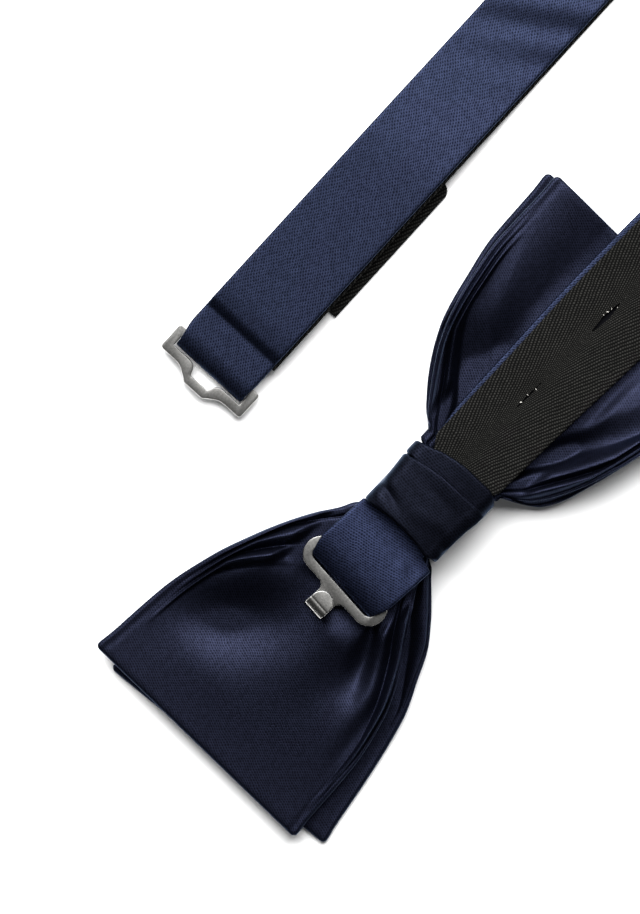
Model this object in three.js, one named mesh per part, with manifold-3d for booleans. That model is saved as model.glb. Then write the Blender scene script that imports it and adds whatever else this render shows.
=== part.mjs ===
// Pre-tied batwing bow tie with a hook and eye neckband, lying on its front. Millimetres.
// X runs along the bow, from the wing under the hook to the wing that the neckband crosses.
// Y runs from the bow towards the returning end of the neckband. Z stands up from the surface
// that the tie lies on, so the back of the bow faces up. The origin is the middle of the knot's
// front face. Wings, pleats and widths are tables of shares of the named sizes below.
import * as THREE from 'three';
import { mergeVertices } from 'three/addons/utils/BufferGeometryUtils.js';
import Module from 'manifold-3d';

const wasm = await Module();
wasm.setup();

const { lerp, smoothstep, degToRad } = THREE.MathUtils;

// Cloth, steel and the gap between pieces that touch
const gap = 0.3;
const leafWall = 1.5;
const wrapWall = 1.0;
const satinWall = 0.9;
const tapeWall = 0.8;
const plateWall = 0.9;

// Bow
const hookWing = 65.1;
const bandWing = 61.8;
const frontShortfall = 1.4;
const leafHalf = 26.8;
const waistHalf = 8.2;
const pleatRise = 1.0;
const pinchHeight = 2.4;
const archRise = 1.7;
const hookWingTurn = 4.5;
const bandWingTurn = 1.2;

// Knot
const knotLeft = 8.2;
const knotRight = 9.2;
const knotCorner = 2.3;
const knotCrown = 0.7;
const knotSplit = 3.2;
const knotOverlap = 1.6;

// Hook side
const tabLength = 23.7;
const tabWidth = 19.2;
const tabTilt = 4.4;
const hookPlateLength = 20.5;
const barWidth = 2.1;
const hookNeck = 4.6;
const hookReach = 3.3;
const hookBend = 1.5;
const hookTongue = 3.0;

// Neckband
const bandLength = 375;
const bandWidth = 19.1;
const edgeShift = 1.0;
const bandTilt = -0.8;
const returnTilt = 1.6;
const returnOffset = 48.2;
const twistStart = 62;
const wingRest = 1.5;
const untwistEnd = 93;
const eyeFold = 12.3;
const hemLength = 16;
const slitPitch = 21.2;
const slitLength = 7.6;
const slitOpening = 1.0;
const slitShift = 0.9;
const firstSlit = 27.3;
const slitCount = 5;
const backingLength = 32.7;
const backingStart = 12.3;
const backingWidth = 17.6;
const backingShift = 1.7;

// Eye plate
const eyePlateLength = 20.2;
const eyeBulge = 2.2;
const eyeOpening = 5.0;

// How the layers stack up in the knot, from the surface upwards
const frontWaistZ = wrapWall + gap + pinchHeight / 2;
const backWaistZ = frontWaistZ + pinchHeight + gap;
const satinWaistZ = backWaistZ + pinchHeight / 2 + gap + satinWall / 2;
const tapeWaistZ = satinWaistZ + satinWall / 2 + gap + tapeWall / 2;
const stackTop = tapeWaistZ + Math.max(tapeWall, satinWall) / 2;
const insideKnot = 2 * (waistHalf - 1.1);

// The neckband's two layers, out from its middle, and how a satin fold clears the plate's bar
const bandWall = satinWall + gap + tapeWall;
const satinOut = (satinWall - bandWall) / 2;
const tapeOut = (bandWall - tapeWall) / 2;
const foldSpread = plateWall / 2 + gap + satinWall / 2 + 0.12;
const hemLift = 2 * foldSpread + satinWall / 2 + satinOut - bandWall / 2;
const backingLift = tapeWall + gap;

// Half width of each quarter of a leaf: how far out between the knot and the wing's end, and how
// far the edge has opened from the waist to the full half width.
const outlineColumns = ['along', 'hookTop', 'hookBottom', 'bandTop', 'bandBottom'];
const backOutline = [
  [0.0, 0.0, 0.0, 0.0, 0.0],
  [0.04, 0.13, 0.04, 0.21, 0.23],
  [0.08, 0.21, 0.09, 0.32, 0.36],
  [0.15, 0.35, 0.21, 0.46, 0.49],
  [0.25, 0.51, 0.39, 0.63, 0.62],
  [0.35, 0.64, 0.59, 0.75, 0.71],
  [0.5, 0.8, 0.79, 0.86, 0.82],
  [0.7, 0.93, 0.91, 0.94, 0.92],
  [1.0, 1.0, 0.96, 0.95, 0.97],
];
const frontOutline = [
  [0.0, 0.0, 0.0, 0.0, 0.0],
  [0.04, 0.13, 0.13, 0.25, 0.33],
  [0.08, 0.21, 0.26, 0.35, 0.45],
  [0.15, 0.34, 0.43, 0.5, 0.57],
  [0.25, 0.5, 0.6, 0.66, 0.67],
  [0.35, 0.64, 0.68, 0.77, 0.76],
  [0.5, 0.8, 0.8, 0.86, 0.87],
  [0.7, 0.93, 0.89, 0.95, 0.94],
  [1.0, 1.0, 0.97, 0.97, 0.99],
];

// Pleats of each quarter of a leaf, from the edge inwards. A pleat line starts in the knot at the
// share "knot" of the half width and nears the edge along the wing, sooner where "start" is small
// and "rate" large. "rise" is a share of the pleat height, up or down, and is gone at "fade".
const pleatColumns = ['knot', 'start', 'rate', 'rise', 'fade'];
const backPleats = {
  hookTop: [
    [0.86, -0.195, 6.5, 0.6, 0.5],
    [0.76, -0.07, 6.5, -0.7, 0.5],
    [0.63, 0.023, 6.5, 1.0, 0.6],
    [0.5, 0.1, 6.5, -0.6, 0.6],
    [0.36, 0.158, 6.5, 1.0, 0.75],
    [0.18, 0.213, 5.85, -1.2, 0.8],
  ],
  hookBottom: [
    [0.88, -0.9, 3.0, -0.7, 0.6],
    [0.77, -0.43, 3.0, 0.9, 0.75],
    [0.65, -0.3, 2.4, -0.5, 0.5],
    [0.52, -0.26, 1.9, 0.4, 0.6],
    [0.36, -0.26, 1.3, -1.2, 0.6],
    [0.2, -0.1, 0.9, 0.5, 0.7],
  ],
  bandTop: [
    [0.9, -0.5, 5.0, -0.7, 0.8],
    [0.78, -0.2, 5.0, 0.9, 0.7],
    [0.64, -0.06, 5.0, -0.6, 0.5],
    [0.5, 0.0, 5.0, 0.9, 0.6],
    [0.34, 0.051, 4.3, -1.1, 0.7],
    [0.16, 0.1, 2.0, 0.4, 0.9],
  ],
  bandBottom: [
    [0.9, -0.5, 5.0, -0.7, 0.5],
    [0.78, -0.2, 5.0, 0.8, 0.5],
    [0.64, -0.08, 4.5, -0.8, 0.5],
    [0.5, 0.0, 4.0, 0.7, 0.6],
    [0.34, 0.03, 3.0, -1.1, 0.6],
    [0.16, 0.08, 2.0, 0.5, 0.8],
  ],
};
const frontPleats = [
  [0.88, -0.5, 5.0, -0.6, 0.5],
  [0.74, -0.2, 5.0, 0.5, 0.5],
  [0.55, -0.05, 4.5, -0.9, 0.6],
  [0.3, 0.05, 3.0, 0.3, 0.6],
];

// Broad dents and swells of the wings: middle and half sizes as shares of the wing's length and
// the leaf's half width, the angle of the long axis in degrees, and the depth in pleat heights.
const dentColumns = ['along', 'across', 'length', 'width', 'angle', 'depth'];
const dents = {
  hook: [
    [0.51, 0.36, 0.19, 0.21, -24, -1.4],
    [0.72, 0.45, 0.12, 0.3, 60, 0.5],
    [0.5, -0.14, 0.22, 0.14, 6, 0.5],
    [0.47, -0.42, 0.14, 0.12, 24, -0.9],
    [0.6, -0.74, 0.16, 0.1, 12, -0.5],
  ],
  band: [
    [0.48, 0.5, 0.16, 0.14, 42, -1.1],
    [0.75, 0.55, 0.16, 0.16, 30, 0.5],
    [0.5, -0.5, 0.18, 0.14, -20, -1.0],
    [0.78, -0.3, 0.16, 0.2, 0, 0.4],
  ],
};
const frontDentShare = 0.4;

// Turns rows of a table into records with the table's column names.
const table = (columns, rows) => rows.map((row) => {
  return Object.fromEntries(columns.map((name, i) => [name, row[i]]));
});

// Value of a table's column at a place along it, on a smooth curve through the rows.
function column(rows, name, at, key = 'along') {
  const last = rows.length - 1;
  const i = Math.min(Math.max(rows.findLastIndex((row) => row[key] <= at), 0), last - 1);
  const rise = (k) => (rows[k + 1][name] - rows[k][name]) / (rows[k + 1][key] - rows[k][key]);
  const slope = (k) => {
    if (k === 0) return rise(0);
    if (k === last) return rise(last - 1);
    const [before, after] = [rise(k - 1), rise(k)];
    return before * after <= 0 ? 0 : (2 * before * after) / (before + after);
  };
  const step = rows[i + 1][key] - rows[i][key];
  const t = Math.min(Math.max((at - rows[i][key]) / step, 0), 1);
  const [t2, t3] = [t * t, t * t * t];
  return (2 * t3 - 3 * t2 + 1) * rows[i][name] + (t3 - 2 * t2 + t) * step * slope(i)
    + (3 * t2 - 2 * t3) * rows[i + 1][name] + (t3 - t2) * step * slope(i + 1);
}

// Closed solid between two grids of points, an upper and a lower one, with walls all round.
// Each row runs across the piece and holds pairs of an upper and a lower point.
function slab(rows) {
  const across = rows[0].length;
  const position = rows.flat().flatMap(([upper, lower]) => [...upper, ...lower]);
  const id = (u, v, side) => 2 * (u * across + v) + side;
  const index = [];
  const quad = (a, b, c, d) => index.push(a, b, c, a, c, d);
  for (let u = 0; u + 1 < rows.length; u += 1) {
    for (let v = 0; v + 1 < across; v += 1) {
      quad(id(u, v, 0), id(u + 1, v, 0), id(u + 1, v + 1, 0), id(u, v + 1, 0));
      quad(id(u, v, 1), id(u, v + 1, 1), id(u + 1, v + 1, 1), id(u + 1, v, 1));
    }
    quad(id(u, 0, 0), id(u, 0, 1), id(u + 1, 0, 1), id(u + 1, 0, 0));
    quad(id(u, across - 1, 0), id(u + 1, across - 1, 0), id(u + 1, across - 1, 1), id(u, across - 1, 1));
  }
  const end = rows.length - 1;
  for (let v = 0; v + 1 < across; v += 1) {
    quad(id(0, v, 0), id(0, v + 1, 0), id(0, v + 1, 1), id(0, v, 1));
    quad(id(end, v, 0), id(end, v, 1), id(end, v + 1, 1), id(end, v + 1, 0));
  }
  const geometry = new THREE.BufferGeometry();
  geometry.setAttribute('position', new THREE.Float32BufferAttribute(position, 3));
  geometry.setIndex(signedVolume(position, index) < 0 ? index.toReversed() : index);
  return geometry;
}

function signedVolume(position, index) {
  const corner = (k) => new THREE.Vector3().fromArray(position, 3 * index[k]);
  let total = 0;
  for (let k = 0; k < index.length; k += 3) {
    total += corner(k).dot(corner(k + 1).cross(corner(k + 2)));
  }
  return total;
}

// Conversions between a geometry and a solid that can be joined or cut.
function toSolid(geometry) {
  const bare = geometry.clone();
  bare.deleteAttribute('normal');
  bare.deleteAttribute('uv');
  const merged = mergeVertices(bare, 1e-4);
  return new wasm.Manifold(new wasm.Mesh({
    numProp: 3,
    vertProperties: new Float32Array(merged.attributes.position.array),
    triVerts: new Uint32Array(merged.index.array),
  }));
}

function toGeometry(solid) {
  const mesh = solid.getMesh();
  const geometry = new THREE.BufferGeometry();
  geometry.setAttribute('position', new THREE.Float32BufferAttribute(mesh.vertProperties, 3));
  geometry.setIndex(new THREE.BufferAttribute(mesh.triVerts, 1));
  return geometry;
}

// Leaves

const wings = {
  hook: { sign: -1, knot: knotLeft + gap, end: hookWing, turn: hookWingTurn },
  band: { sign: 1, knot: knotRight + gap, end: bandWing, turn: bandWingTurn },
};
const leaves = {
  back: {
    outline: table(outlineColumns, backOutline),
    pleats: Object.fromEntries(Object.entries(backPleats).map(([quarter, rows]) => {
      return [quarter, table(pleatColumns, rows)];
    })),
    waistZ: backWaistZ,
    waistCurl: 0,
    endZ: leafWall * 1.5 + gap + 0.1,
    arch: archRise,
    turned: 0,
    shortfall: 0,
    dent: 1,
  },
  front: {
    outline: table(outlineColumns, frontOutline),
    pleats: Object.fromEntries(Object.keys(backPleats).map((quarter) => {
      return [quarter, table(pleatColumns, frontPleats)];
    })),
    waistZ: frontWaistZ,
    waistCurl: 0.9,
    endZ: leafWall / 2,
    arch: archRise * 0.15,
    turned: 1,
    shortfall: frontShortfall,
    dent: frontDentShare,
  },
};
const wingDents = {
  hook: table(dentColumns, dents.hook),
  band: table(dentColumns, dents.band),
};
// A pleat line nears the edge no further than this share of the half width.
const pleatLimit = 0.965;
const waistPleatShare = 0.4;
const middleLines = 5;
const edgeRound = [[0.0, 0.4], [0.4, 0.85]];
const waistStations = 3;
const wingStations = 15;
const stationCrowding = 1.25;

function sideOf(x) {
  return x < 0 ? wings.hook : wings.band;
}

// How far out along its wing a place is: 0 at the knot and 1 at the end, below 0 in the knot.
function alongWing(leaf, x) {
  const wing = sideOf(x);
  return (Math.abs(x) - wing.knot) / (wing.end - leaf.shortfall * (x < 0) - wing.knot);
}

function halfWidth(leaf, quarter, along) {
  return lerp(waistHalf, leafHalf, column(leaf.outline, quarter, Math.max(along, 0)));
}

// The lines of one quarter across the wing, from the edge inwards, with their height.
function quarterLines(leaf, quarter, along) {
  const half = halfWidth(leaf, quarter, along);
  return leaf.pleats[quarter].map(({ knot, start, rate, rise, fade }, i) => {
    const out = Math.max(1 - Math.exp(-rate * (along - start)), 0);
    const share = Math.min((knot ** 5 + out ** 5) ** 0.2, pleatLimit - 0.022 * i);
    const grown = lerp(waistPleatShare, 1, smoothstep(along, 0, 0.1));
    const left = 1 - smoothstep(along, fade * 0.45, fade);
    return { y: half * share, z: rise * pleatRise * grown * left };
  });
}

// Height of the broad dents at a place.
function dentHeight(x, y) {
  const wing = sideOf(x);
  const rows = x < 0 ? wingDents.hook : wingDents.band;
  return rows.reduce((sum, row) => {
    const [dx, dy] = [Math.abs(x) - row.along * wing.end, y - row.across * leafHalf];
    const angle = degToRad(-row.angle);
    const u = (dx * Math.cos(angle) + dy * Math.sin(angle)) / (row.length * wing.end);
    const v = (dy * Math.cos(angle) - dx * Math.sin(angle)) / (row.width * leafHalf);
    return sum + row.depth * pleatRise * Math.exp(-u * u - v * v);
  }, 0);
}

// How far the neckband comes down along the wing that it crosses.
function bandDrop(x) {
  return wingRest * smoothstep(x, knotRight, twistStart);
}

// Lower of two heights, with a round change from one to the other.
function lowerOf(a, b) {
  const round = 0.25;
  return (a + b - Math.sqrt((a - b) ** 2 + round ** 2)) / 2;
}

// The back leaf is pressed down where the tab and the neckband lie on it.
function pressed(leaf, x, y, height) {
  const tabMiddle = -Math.tan(degToRad(tabTilt)) * (x + knotLeft);
  const [middle, reach] = x < 0 ? [tabMiddle, tabLength + 3] : [0, bandWing * 2];
  const under = satinWaistZ - satinWall / 2 - 1.5 * gap - leafWall / 2 - bandDrop(x);
  const across = 1 - smoothstep(Math.abs(y - middle), bandWidth / 2 + 1.6, bandWidth / 2 + 4);
  const along = 1 - smoothstep(Math.abs(x), reach, reach + 6);
  return lerp(height, lowerOf(height, under), across * along);
}

function leafSection(leaf, x) {
  const wing = sideOf(x);
  const along = alongWing(leaf, x);
  const [top, bottom] = x < 0 ? ['hookTop', 'hookBottom'] : ['bandTop', 'bandBottom'];
  const [up, down] = [halfWidth(leaf, top, along), halfWidth(leaf, bottom, along)];
  const upper = quarterLines(leaf, top, along);
  const lower = quarterLines(leaf, bottom, along).map(({ y, z }) => ({ y: -y, z }));
  const [first, last] = [lower.at(-1), upper.at(-1)];
  const middle = Array.from({ length: middleLines }, (_, i) => {
    const t = (i + 1) / (middleLines + 1);
    const flat = Math.sin(Math.PI * t);
    return { y: lerp(first.y, last.y, t), z: lerp(first.z, last.z, t) * (1 - flat) };
  });
  const rounded = (side, edge) => edgeRound.map(([inset, wall]) => {
    return { y: side * (edge - inset), z: 0, wall };
  });
  const lines = [
    ...rounded(-1, down),
    ...lower,
    ...middle,
    ...upper.toReversed(),
    ...rounded(1, up).toReversed(),
  ];
  const shared = smoothstep(along, 0.1, 1);
  const arch = leaf.arch * Math.sin(Math.PI * Math.min(Math.max(along, 0), 1) ** 0.8);
  const level = lerp(leaf.waistZ, leaf.endZ, shared) + arch;
  const dented = leaf.dent * smoothstep(along, 0.05, 0.3) * (1 - smoothstep(along, 0.8, 1));
  const turn = degToRad(leaf.turned * wing.turn * smoothstep(along, 0, 0.5));
  return lines.map(({ y, z, wall = 1 }) => {
    const curl = leaf.waistCurl * (y / waistHalf) ** 6 * (1 - smoothstep(along, 0, 0.04));
    const free = level + z + curl + dented * dentHeight(x, y);
    const height = pressed(leaf, x, y, free);
    const px = x * Math.cos(turn) - y * Math.sin(turn);
    const py = x * Math.sin(turn) + y * Math.cos(turn);
    const half = (leafWall * wall) / 2;
    return [[px, py, height + half], [px, py, height - half]];
  });
}

function leafSolid(leaf) {
  const outwards = (wing) => Array.from({ length: wingStations }, (_, i) => {
    const share = ((i + 1) / wingStations) ** stationCrowding;
    return wing.sign * lerp(wing.knot, wing.end - leaf.shortfall * (wing.sign < 0), share);
  });
  const waist = Array.from({ length: waistStations }, (_, i) => {
    return lerp(-wings.hook.knot, wings.band.knot, i / (waistStations - 1));
  });
  const stations = [...outwards(wings.hook).toReversed(), ...waist, ...outwards(wings.band)];
  return slab(stations.map((x) => leafSection(leaf, x)));
}

// Strips of cloth. A frame is a place on the strip's middle line with the unit vectors across
// the strip and out of its face, and the places of its two edges along the first of them.
const stripEdge = [[0.0, 0.4], [0.04, 1.0], [0.5, 1.0], [0.96, 1.0], [1.0, 0.4]];

function strip(frames, wall, edges = stripEdge) {
  return slab(frames.map(({ at, side, face, low, high }) => edges.map(([share, part]) => {
    const middle = at.clone().addScaledVector(side, lerp(low, high, share));
    const half = (wall * part) / 2;
    return [
      middle.clone().addScaledVector(face, half).toArray(),
      middle.clone().addScaledVector(face, -half).toArray(),
    ];
  })));
}

// Frames along a path drawn in a plane, whose points are (run, height). The plane stands on
// the direction "along", and "origin" is where its run and height are nought.
function planeFrames(points, origin, along, low, high) {
  const up = new THREE.Vector3(0, 0, 1);
  const side = new THREE.Vector3().crossVectors(up, along);
  return points.map((point, i) => {
    const before = points[Math.max(i - 1, 0)];
    const after = points[Math.min(i + 1, points.length - 1)];
    const way = new THREE.Vector2().subVectors(after, before).normalize();
    const at = origin.clone().addScaledVector(along, point.x).addScaledVector(up, point.y);
    const face = up.clone().multiplyScalar(way.x).addScaledVector(along, -way.y);
    const share = i / (points.length - 1);
    return { at, side, face, low: low(share, point, i), high: high(share, point, i) };
  });
}

// Knot wrap: one strip wound round the waist. Its first stretch starts on the +Y side, beside its
// last one, and runs under it on the back, where the last stretch ends at the far edge.
function knotWrap() {
  const half = waistHalf + gap + wrapWall / 2;
  const front = wrapWall / 2;
  const under = stackTop + gap + wrapWall / 2 + 0.3;
  const over = under + wrapWall + gap;
  const r = knotCorner;
  const path = new THREE.Path();
  path.moveTo(half, front + r + 0.4);
  path.lineTo(half, under - r);
  path.absarc(half - r, under - r, r, 0, Math.PI / 2, false);
  path.quadraticCurveTo(0, under + knotCrown, -(half - r), under);
  path.absarc(-(half - r), under - r, r, Math.PI / 2, Math.PI, false);
  path.lineTo(-half, front + r);
  path.absarc(-(half - r), front + r, r, Math.PI, Math.PI * 1.5, false);
  path.lineTo(0, front);
  path.lineTo(half - r, front);
  path.absarc(half - r, front + r, r, Math.PI * 1.5, Math.PI * 2, false);
  path.lineTo(half, over - r);
  path.absarc(half - r, over - r, r, 0, Math.PI / 2, false);
  path.quadraticCurveTo(0, over + knotCrown, -(half - r), over);
  path.absarc(-(half - r), under - r, r + wrapWall + gap, Math.PI / 2, Math.PI * 0.85, false);
  const points = path.curves.flatMap((curve) => {
    return curve.getPoints(curve.isLineCurve ? 1 : 6);
  }).filter((point, i, all) => i === 0 || point.distanceTo(all[i - 1]) > 0.05);
  const nearCorner = 7;
  const [firstFront, lastFront] = ['findIndex', 'findLastIndex'].map((find) => {
    return points[find]((point) => point.y < front + 0.01);
  });
  const overStart = lastFront + 2 * nearCorner - 1;
  const edges = table(['at', 'left', 'right'], [
    [0, knotSplit + gap / 2, knotSplit + knotOverlap * 2],
    [nearCorner / 2, knotSplit + gap / 2, knotRight],
    [nearCorner + 0.5, knotSplit + gap / 2, knotRight],
    [nearCorner + 3, -knotLeft, knotRight],
    [firstFront, -knotLeft, knotRight],
    [lastFront, -knotLeft, knotRight],
    [lastFront + 4, -knotLeft, knotSplit - gap / 2],
    [overStart, -knotLeft, knotSplit - gap / 2],
    [overStart + 3, -knotLeft, knotSplit + knotOverlap],
    [points.length - 1, -knotLeft, knotSplit + knotOverlap],
  ]);
  const edge = (name) => (_, __, i) => -column(edges, name, i, 'at');
  const frames = planeFrames(
    points,
    new THREE.Vector3(),
    new THREE.Vector3(0, 1, 0),
    edge('right'),
    edge('left'),
  );
  return strip(frames, wrapWall);
}

// Hook side: a doubled tab out of the knot, folded round the plate's inner bar.
const hookDirection = new THREE.Vector3(-1, 0, 0)
  .applyAxisAngle(new THREE.Vector3(0, 0, 1), degToRad(-tabTilt));
const tabOrigin = new THREE.Vector3(-knotLeft, 0, 0).addScaledVector(hookDirection, -knotLeft);
const hookBarZ = satinWaistZ + satinWall / 2 + gap + plateWall / 2 + 0.14;

const squeezeLength = 1.3;

function hookTab() {
  const start = 1.0;
  const lowZ = hookBarZ - foldSpread;
  const highZ = hookBarZ + foldSpread;
  const bend = tabLength - satinWall / 2 - foldSpread;
  const closed = satinWaistZ + satinWall + gap;
  const path = new THREE.Path();
  path.moveTo(start, satinWaistZ);
  path.lineTo(knotLeft + gap, satinWaistZ);
  path.lineTo(knotLeft + squeezeLength, satinWaistZ);
  path.bezierCurveTo(knotLeft + 4, satinWaistZ, bend - 6, lowZ, bend, lowZ);
  path.absarc(bend, hookBarZ, foldSpread, -Math.PI / 2, Math.PI / 2, false);
  path.bezierCurveTo(bend - 6, highZ, knotLeft + 4, closed, knotLeft + squeezeLength, closed);
  path.lineTo(knotLeft + gap, closed);
  path.lineTo(start, closed);
  const points = path.getPoints(8).filter((point, i, all) => {
    return i === 0 || point.distanceTo(all[i - 1]) > 0.05;
  });
  const fold = hookPlateLength - 2 * barWidth - 2 * gap;
  const half = (_, { x }) => {
    const open = lerp(insideKnot, tabWidth, smoothstep(x, knotLeft + gap, knotLeft + squeezeLength));
    return lerp(open, fold, smoothstep(x, bend - barWidth - 3, bend - barWidth * 0.3)) / 2;
  };
  return strip(planeFrames(points, tabOrigin, hookDirection,
    (share, point) => -half(share, point), half), satinWall);
}

// Flat outline helpers for the plates, drawn with x out of the knot and y along the bar.
function roundedLoop(shape, x0, x1, y0, y1, r) {
  shape.moveTo(x0 + r, y0);
  shape.lineTo(x1 - r, y0);
  shape.absarc(x1 - r, y0 + r, r, -Math.PI / 2, 0, false);
  shape.lineTo(x1, y1 - r);
  shape.absarc(x1 - r, y1 - r, r, 0, Math.PI / 2, false);
  shape.lineTo(x0 + r, y1);
  shape.absarc(x0 + r, y1 - r, r, Math.PI / 2, Math.PI, false);
  shape.lineTo(x0, y0 + r);
  shape.absarc(x0 + r, y0 + r, r, Math.PI, Math.PI * 1.5, false);
}

function plateSolid(shape) {
  const edge = 0.12;
  const geometry = new THREE.ExtrudeGeometry(shape, {
    depth: plateWall - 2 * edge,
    bevelEnabled: true,
    bevelThickness: edge,
    bevelSize: edge,
    bevelOffset: -edge,
    bevelSegments: 1,
    curveSegments: 4,
  });
  geometry.translate(0, 0, edge - plateWall / 2);
  return geometry;
}

const tongueEdge = [[0, 0.75], [0.06, 1], [0.94, 1], [1, 0.75]];

// Hook plate: a loop with round ends, and a neck whose tongue curls back over itself.
function hookPlate() {
  const inner = tabLength - satinWall - gap - barWidth;
  const outer = inner + 2 * barWidth + satinWall + 2 * gap + 0.1;
  const [low, high] = [-hookPlateLength / 2, hookPlateLength / 2];
  const shape = new THREE.Shape();
  roundedLoop(shape, inner, outer, low, high, 2.9);
  const window = new THREE.Path();
  roundedLoop(window, inner + barWidth, outer - barWidth, low + barWidth, high - barWidth, 0.9);
  shape.holes.push(window);
  const loop = toSolid(plateSolid(shape));
  const fillet = 1.1;
  const neck = new THREE.Shape();
  const half = hookNeck / 2;
  neck.moveTo(outer - barWidth / 2, -half - fillet);
  neck.lineTo(outer, -half - fillet);
  neck.quadraticCurveTo(outer + 0.1, -half, outer + fillet, -half);
  neck.lineTo(outer + hookReach - 0.1, -half);
  neck.lineTo(outer + hookReach - 0.1, half);
  neck.lineTo(outer + fillet, half);
  neck.quadraticCurveTo(outer + 0.1, half, outer, half + fillet);
  neck.lineTo(outer - barWidth / 2, half + fillet);
  neck.closePath();
  const tongue = new THREE.Path();
  const bendX = outer + hookReach;
  tongue.moveTo(bendX - 0.6, 0);
  tongue.lineTo(bendX, 0);
  tongue.absarc(bendX, hookBend, hookBend, -Math.PI / 2, Math.PI / 2, false);
  tongue.lineTo(bendX - hookTongue, 2 * hookBend - 0.3);
  const points = tongue.getPoints(7).filter((point, i, all) => {
    return i === 0 || point.distanceTo(all[i - 1]) > 0.05;
  });
  const last = points.pop();
  const rounded = [0, 0.3, 0.55, 0.75, 0.9, 1.0].map((t) => {
    return points.at(-1).clone().lerp(last, t);
  });
  const tip = bendX - hookTongue;
  const path = [...points.slice(0, -1), ...rounded];
  const width = (share, { x, y }) => {
    if (y < hookBend) return half;
    const into = Math.min(Math.max((half - (x - tip)) / half, 0), 0.97);
    return half * Math.sqrt(1 - into * into);
  };
  const curl = strip(planeFrames(path, new THREE.Vector3(), new THREE.Vector3(1, 0, 0),
    (share, point) => -width(share, point), width), plateWall, tongueEdge);
  return toGeometry(loop.add(toSolid(plateSolid(neck))).add(toSolid(curl)));
}

// Neckband: one path from the knot, over the wing, on edge round the neck loop and flat again
// to the eye. The tape lies on the inner side of the loop and the satin on the outer side.
const heading = degToRad(bandTilt);
const backHeading = Math.PI + degToRad(returnTilt);
const outLine = (x) => Math.tan(heading) * x;
const returnLine = (x) => returnOffset + Math.tan(backHeading) * x;
// The straight runs and the half turn between them make up the band's length.
const spread = (Math.tan(backHeading) - Math.tan(heading)) / 2;
const turnStart = (bandLength + knotRight - eyeFold - (Math.PI * returnOffset) / 2)
  / (2 + Math.PI * spread);
const [cosOut, cosBack] = [Math.cos(heading), Math.abs(Math.cos(backHeading))];
const loopY = (outLine(turnStart) * cosOut + returnLine(turnStart) * cosBack)
  / (cosOut + cosBack);
const loopRadius = (loopY - outLine(turnStart)) * cosOut;

const bandWidths = table(['along', 'width', 'satinShift', 'tapeShift'], [
  [0.0, 0.87, 0.6, 0.0],
  [0.04, 0.91, 0.9, 0.0],
  [0.12, 1.0, 1.0, 0.0],
  [0.5, 0.98, 0.6, -0.2],
  [0.75, 0.93, 0.3, -0.3],
  [1.0, 0.93, 0.3, -0.3],
]);

// Plan point and heading at a distance along the path, whose start is at X = 0.
function bandPlan(run) {
  const centre = new THREE.Vector2(turnStart, loopY);
  const onArc = (angle) => new THREE.Vector2(Math.sin(angle), -Math.cos(angle))
    .multiplyScalar(loopRadius).add(centre);
  if (run < outRun) {
    const end = onArc(heading);
    const back = outRun - run;
    const way = new THREE.Vector2(Math.cos(heading), Math.sin(heading));
    return { at: end.addScaledVector(way, -back), angle: heading };
  }
  if (run < outRun + arcRun) {
    const angle = heading + (run - outRun) / loopRadius;
    return { at: onArc(angle), angle };
  }
  const way = new THREE.Vector2(Math.cos(backHeading), Math.sin(backHeading));
  const at = onArc(backHeading).addScaledVector(way, run - outRun - arcRun);
  return { at, angle: backHeading };
}

const outRun = (turnStart + loopRadius * Math.sin(heading)) / cosOut;
const arcRun = loopRadius * (backHeading - heading);
const backRun = (turnStart + loopRadius * Math.sin(backHeading) + eyeFold) / cosBack;
const totalRun = outRun + arcRun + backRun;
const twistInArc = 14;

// The band's place, the unit vectors across it and out of its tape side, and its width there.
function bandFrame(run) {
  const { at, angle } = bandPlan(run);
  const left = new THREE.Vector3(-Math.sin(angle), Math.cos(angle), 0);
  const up = new THREE.Vector3(0, 0, 1);
  const onEdge = smoothstep(run, twistStart, outRun + twistInArc);
  const flatAgain = smoothstep(run, outRun + arcRun - twistInArc, totalRun - untwistEnd - eyeFold);
  const roll = (Math.PI / 2) * (onEdge + flatAgain);
  const side = left.clone().multiplyScalar(Math.cos(roll)).addScaledVector(up, -Math.sin(roll));
  const face = up.clone().multiplyScalar(Math.cos(roll)).addScaledVector(left, Math.sin(roll));
  const share = Math.min(Math.max((run - knotRight) / (totalRun - knotRight), 0), 1);
  const width = bandWidth * column(bandWidths, 'width', share);
  const satinShift = edgeShift * column(bandWidths, 'satinShift', share);
  const tapeShift = edgeShift * column(bandWidths, 'tapeShift', share);
  const flat = Math.abs(Math.cos(roll));
  const floor = (width / 2 + satinShift) * Math.sin(roll) + (bandWall / 2) * flat;
  const knotZ = (satinWaistZ - satinWall / 2 + tapeWaistZ + tapeWall / 2) / 2;
  const onWing = (knotZ - bandDrop(run)) * (1 - smoothstep(run, twistStart, outRun));
  const fromEye = totalRun - run;
  const backingEnd = backingStart + backingLength + eyeFold;
  const raised = 1 - smoothstep(fromEye, backingEnd + 2, backingEnd + 14);
  const lift = Math.max(hemLift, backingLift) * raised;
  const height = (onWing ** 4 + floor ** 4) ** 0.25 + lift;
  return { at: new THREE.Vector3(at.x, at.y, height), side, face, width, satinShift, tapeShift };
}

// Runs where the band gets a section: closer together in the twists and the turn.
function bandRuns(from, to) {
  const steps = table(['from', 'step'], [
    [0, 9],
    [twistStart, 5.5],
    [totalRun - untwistEnd, 8],
    [totalRun, 8],
  ]);
  const runs = [from];
  while (runs.at(-1) < to) {
    const { step } = steps.findLast((row) => row.from <= runs.at(-1)) ?? steps[0];
    runs.push(Math.min(runs.at(-1) + step, to));
  }
  if (to - runs.at(-2) < 1.5) runs.splice(-2, 1);
  return runs;
}

function squeezed(frame, run, width) {
  return lerp(Math.min(width, insideKnot), width, smoothstep(run, knotRight - 1, knotRight + 3));
}

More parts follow.
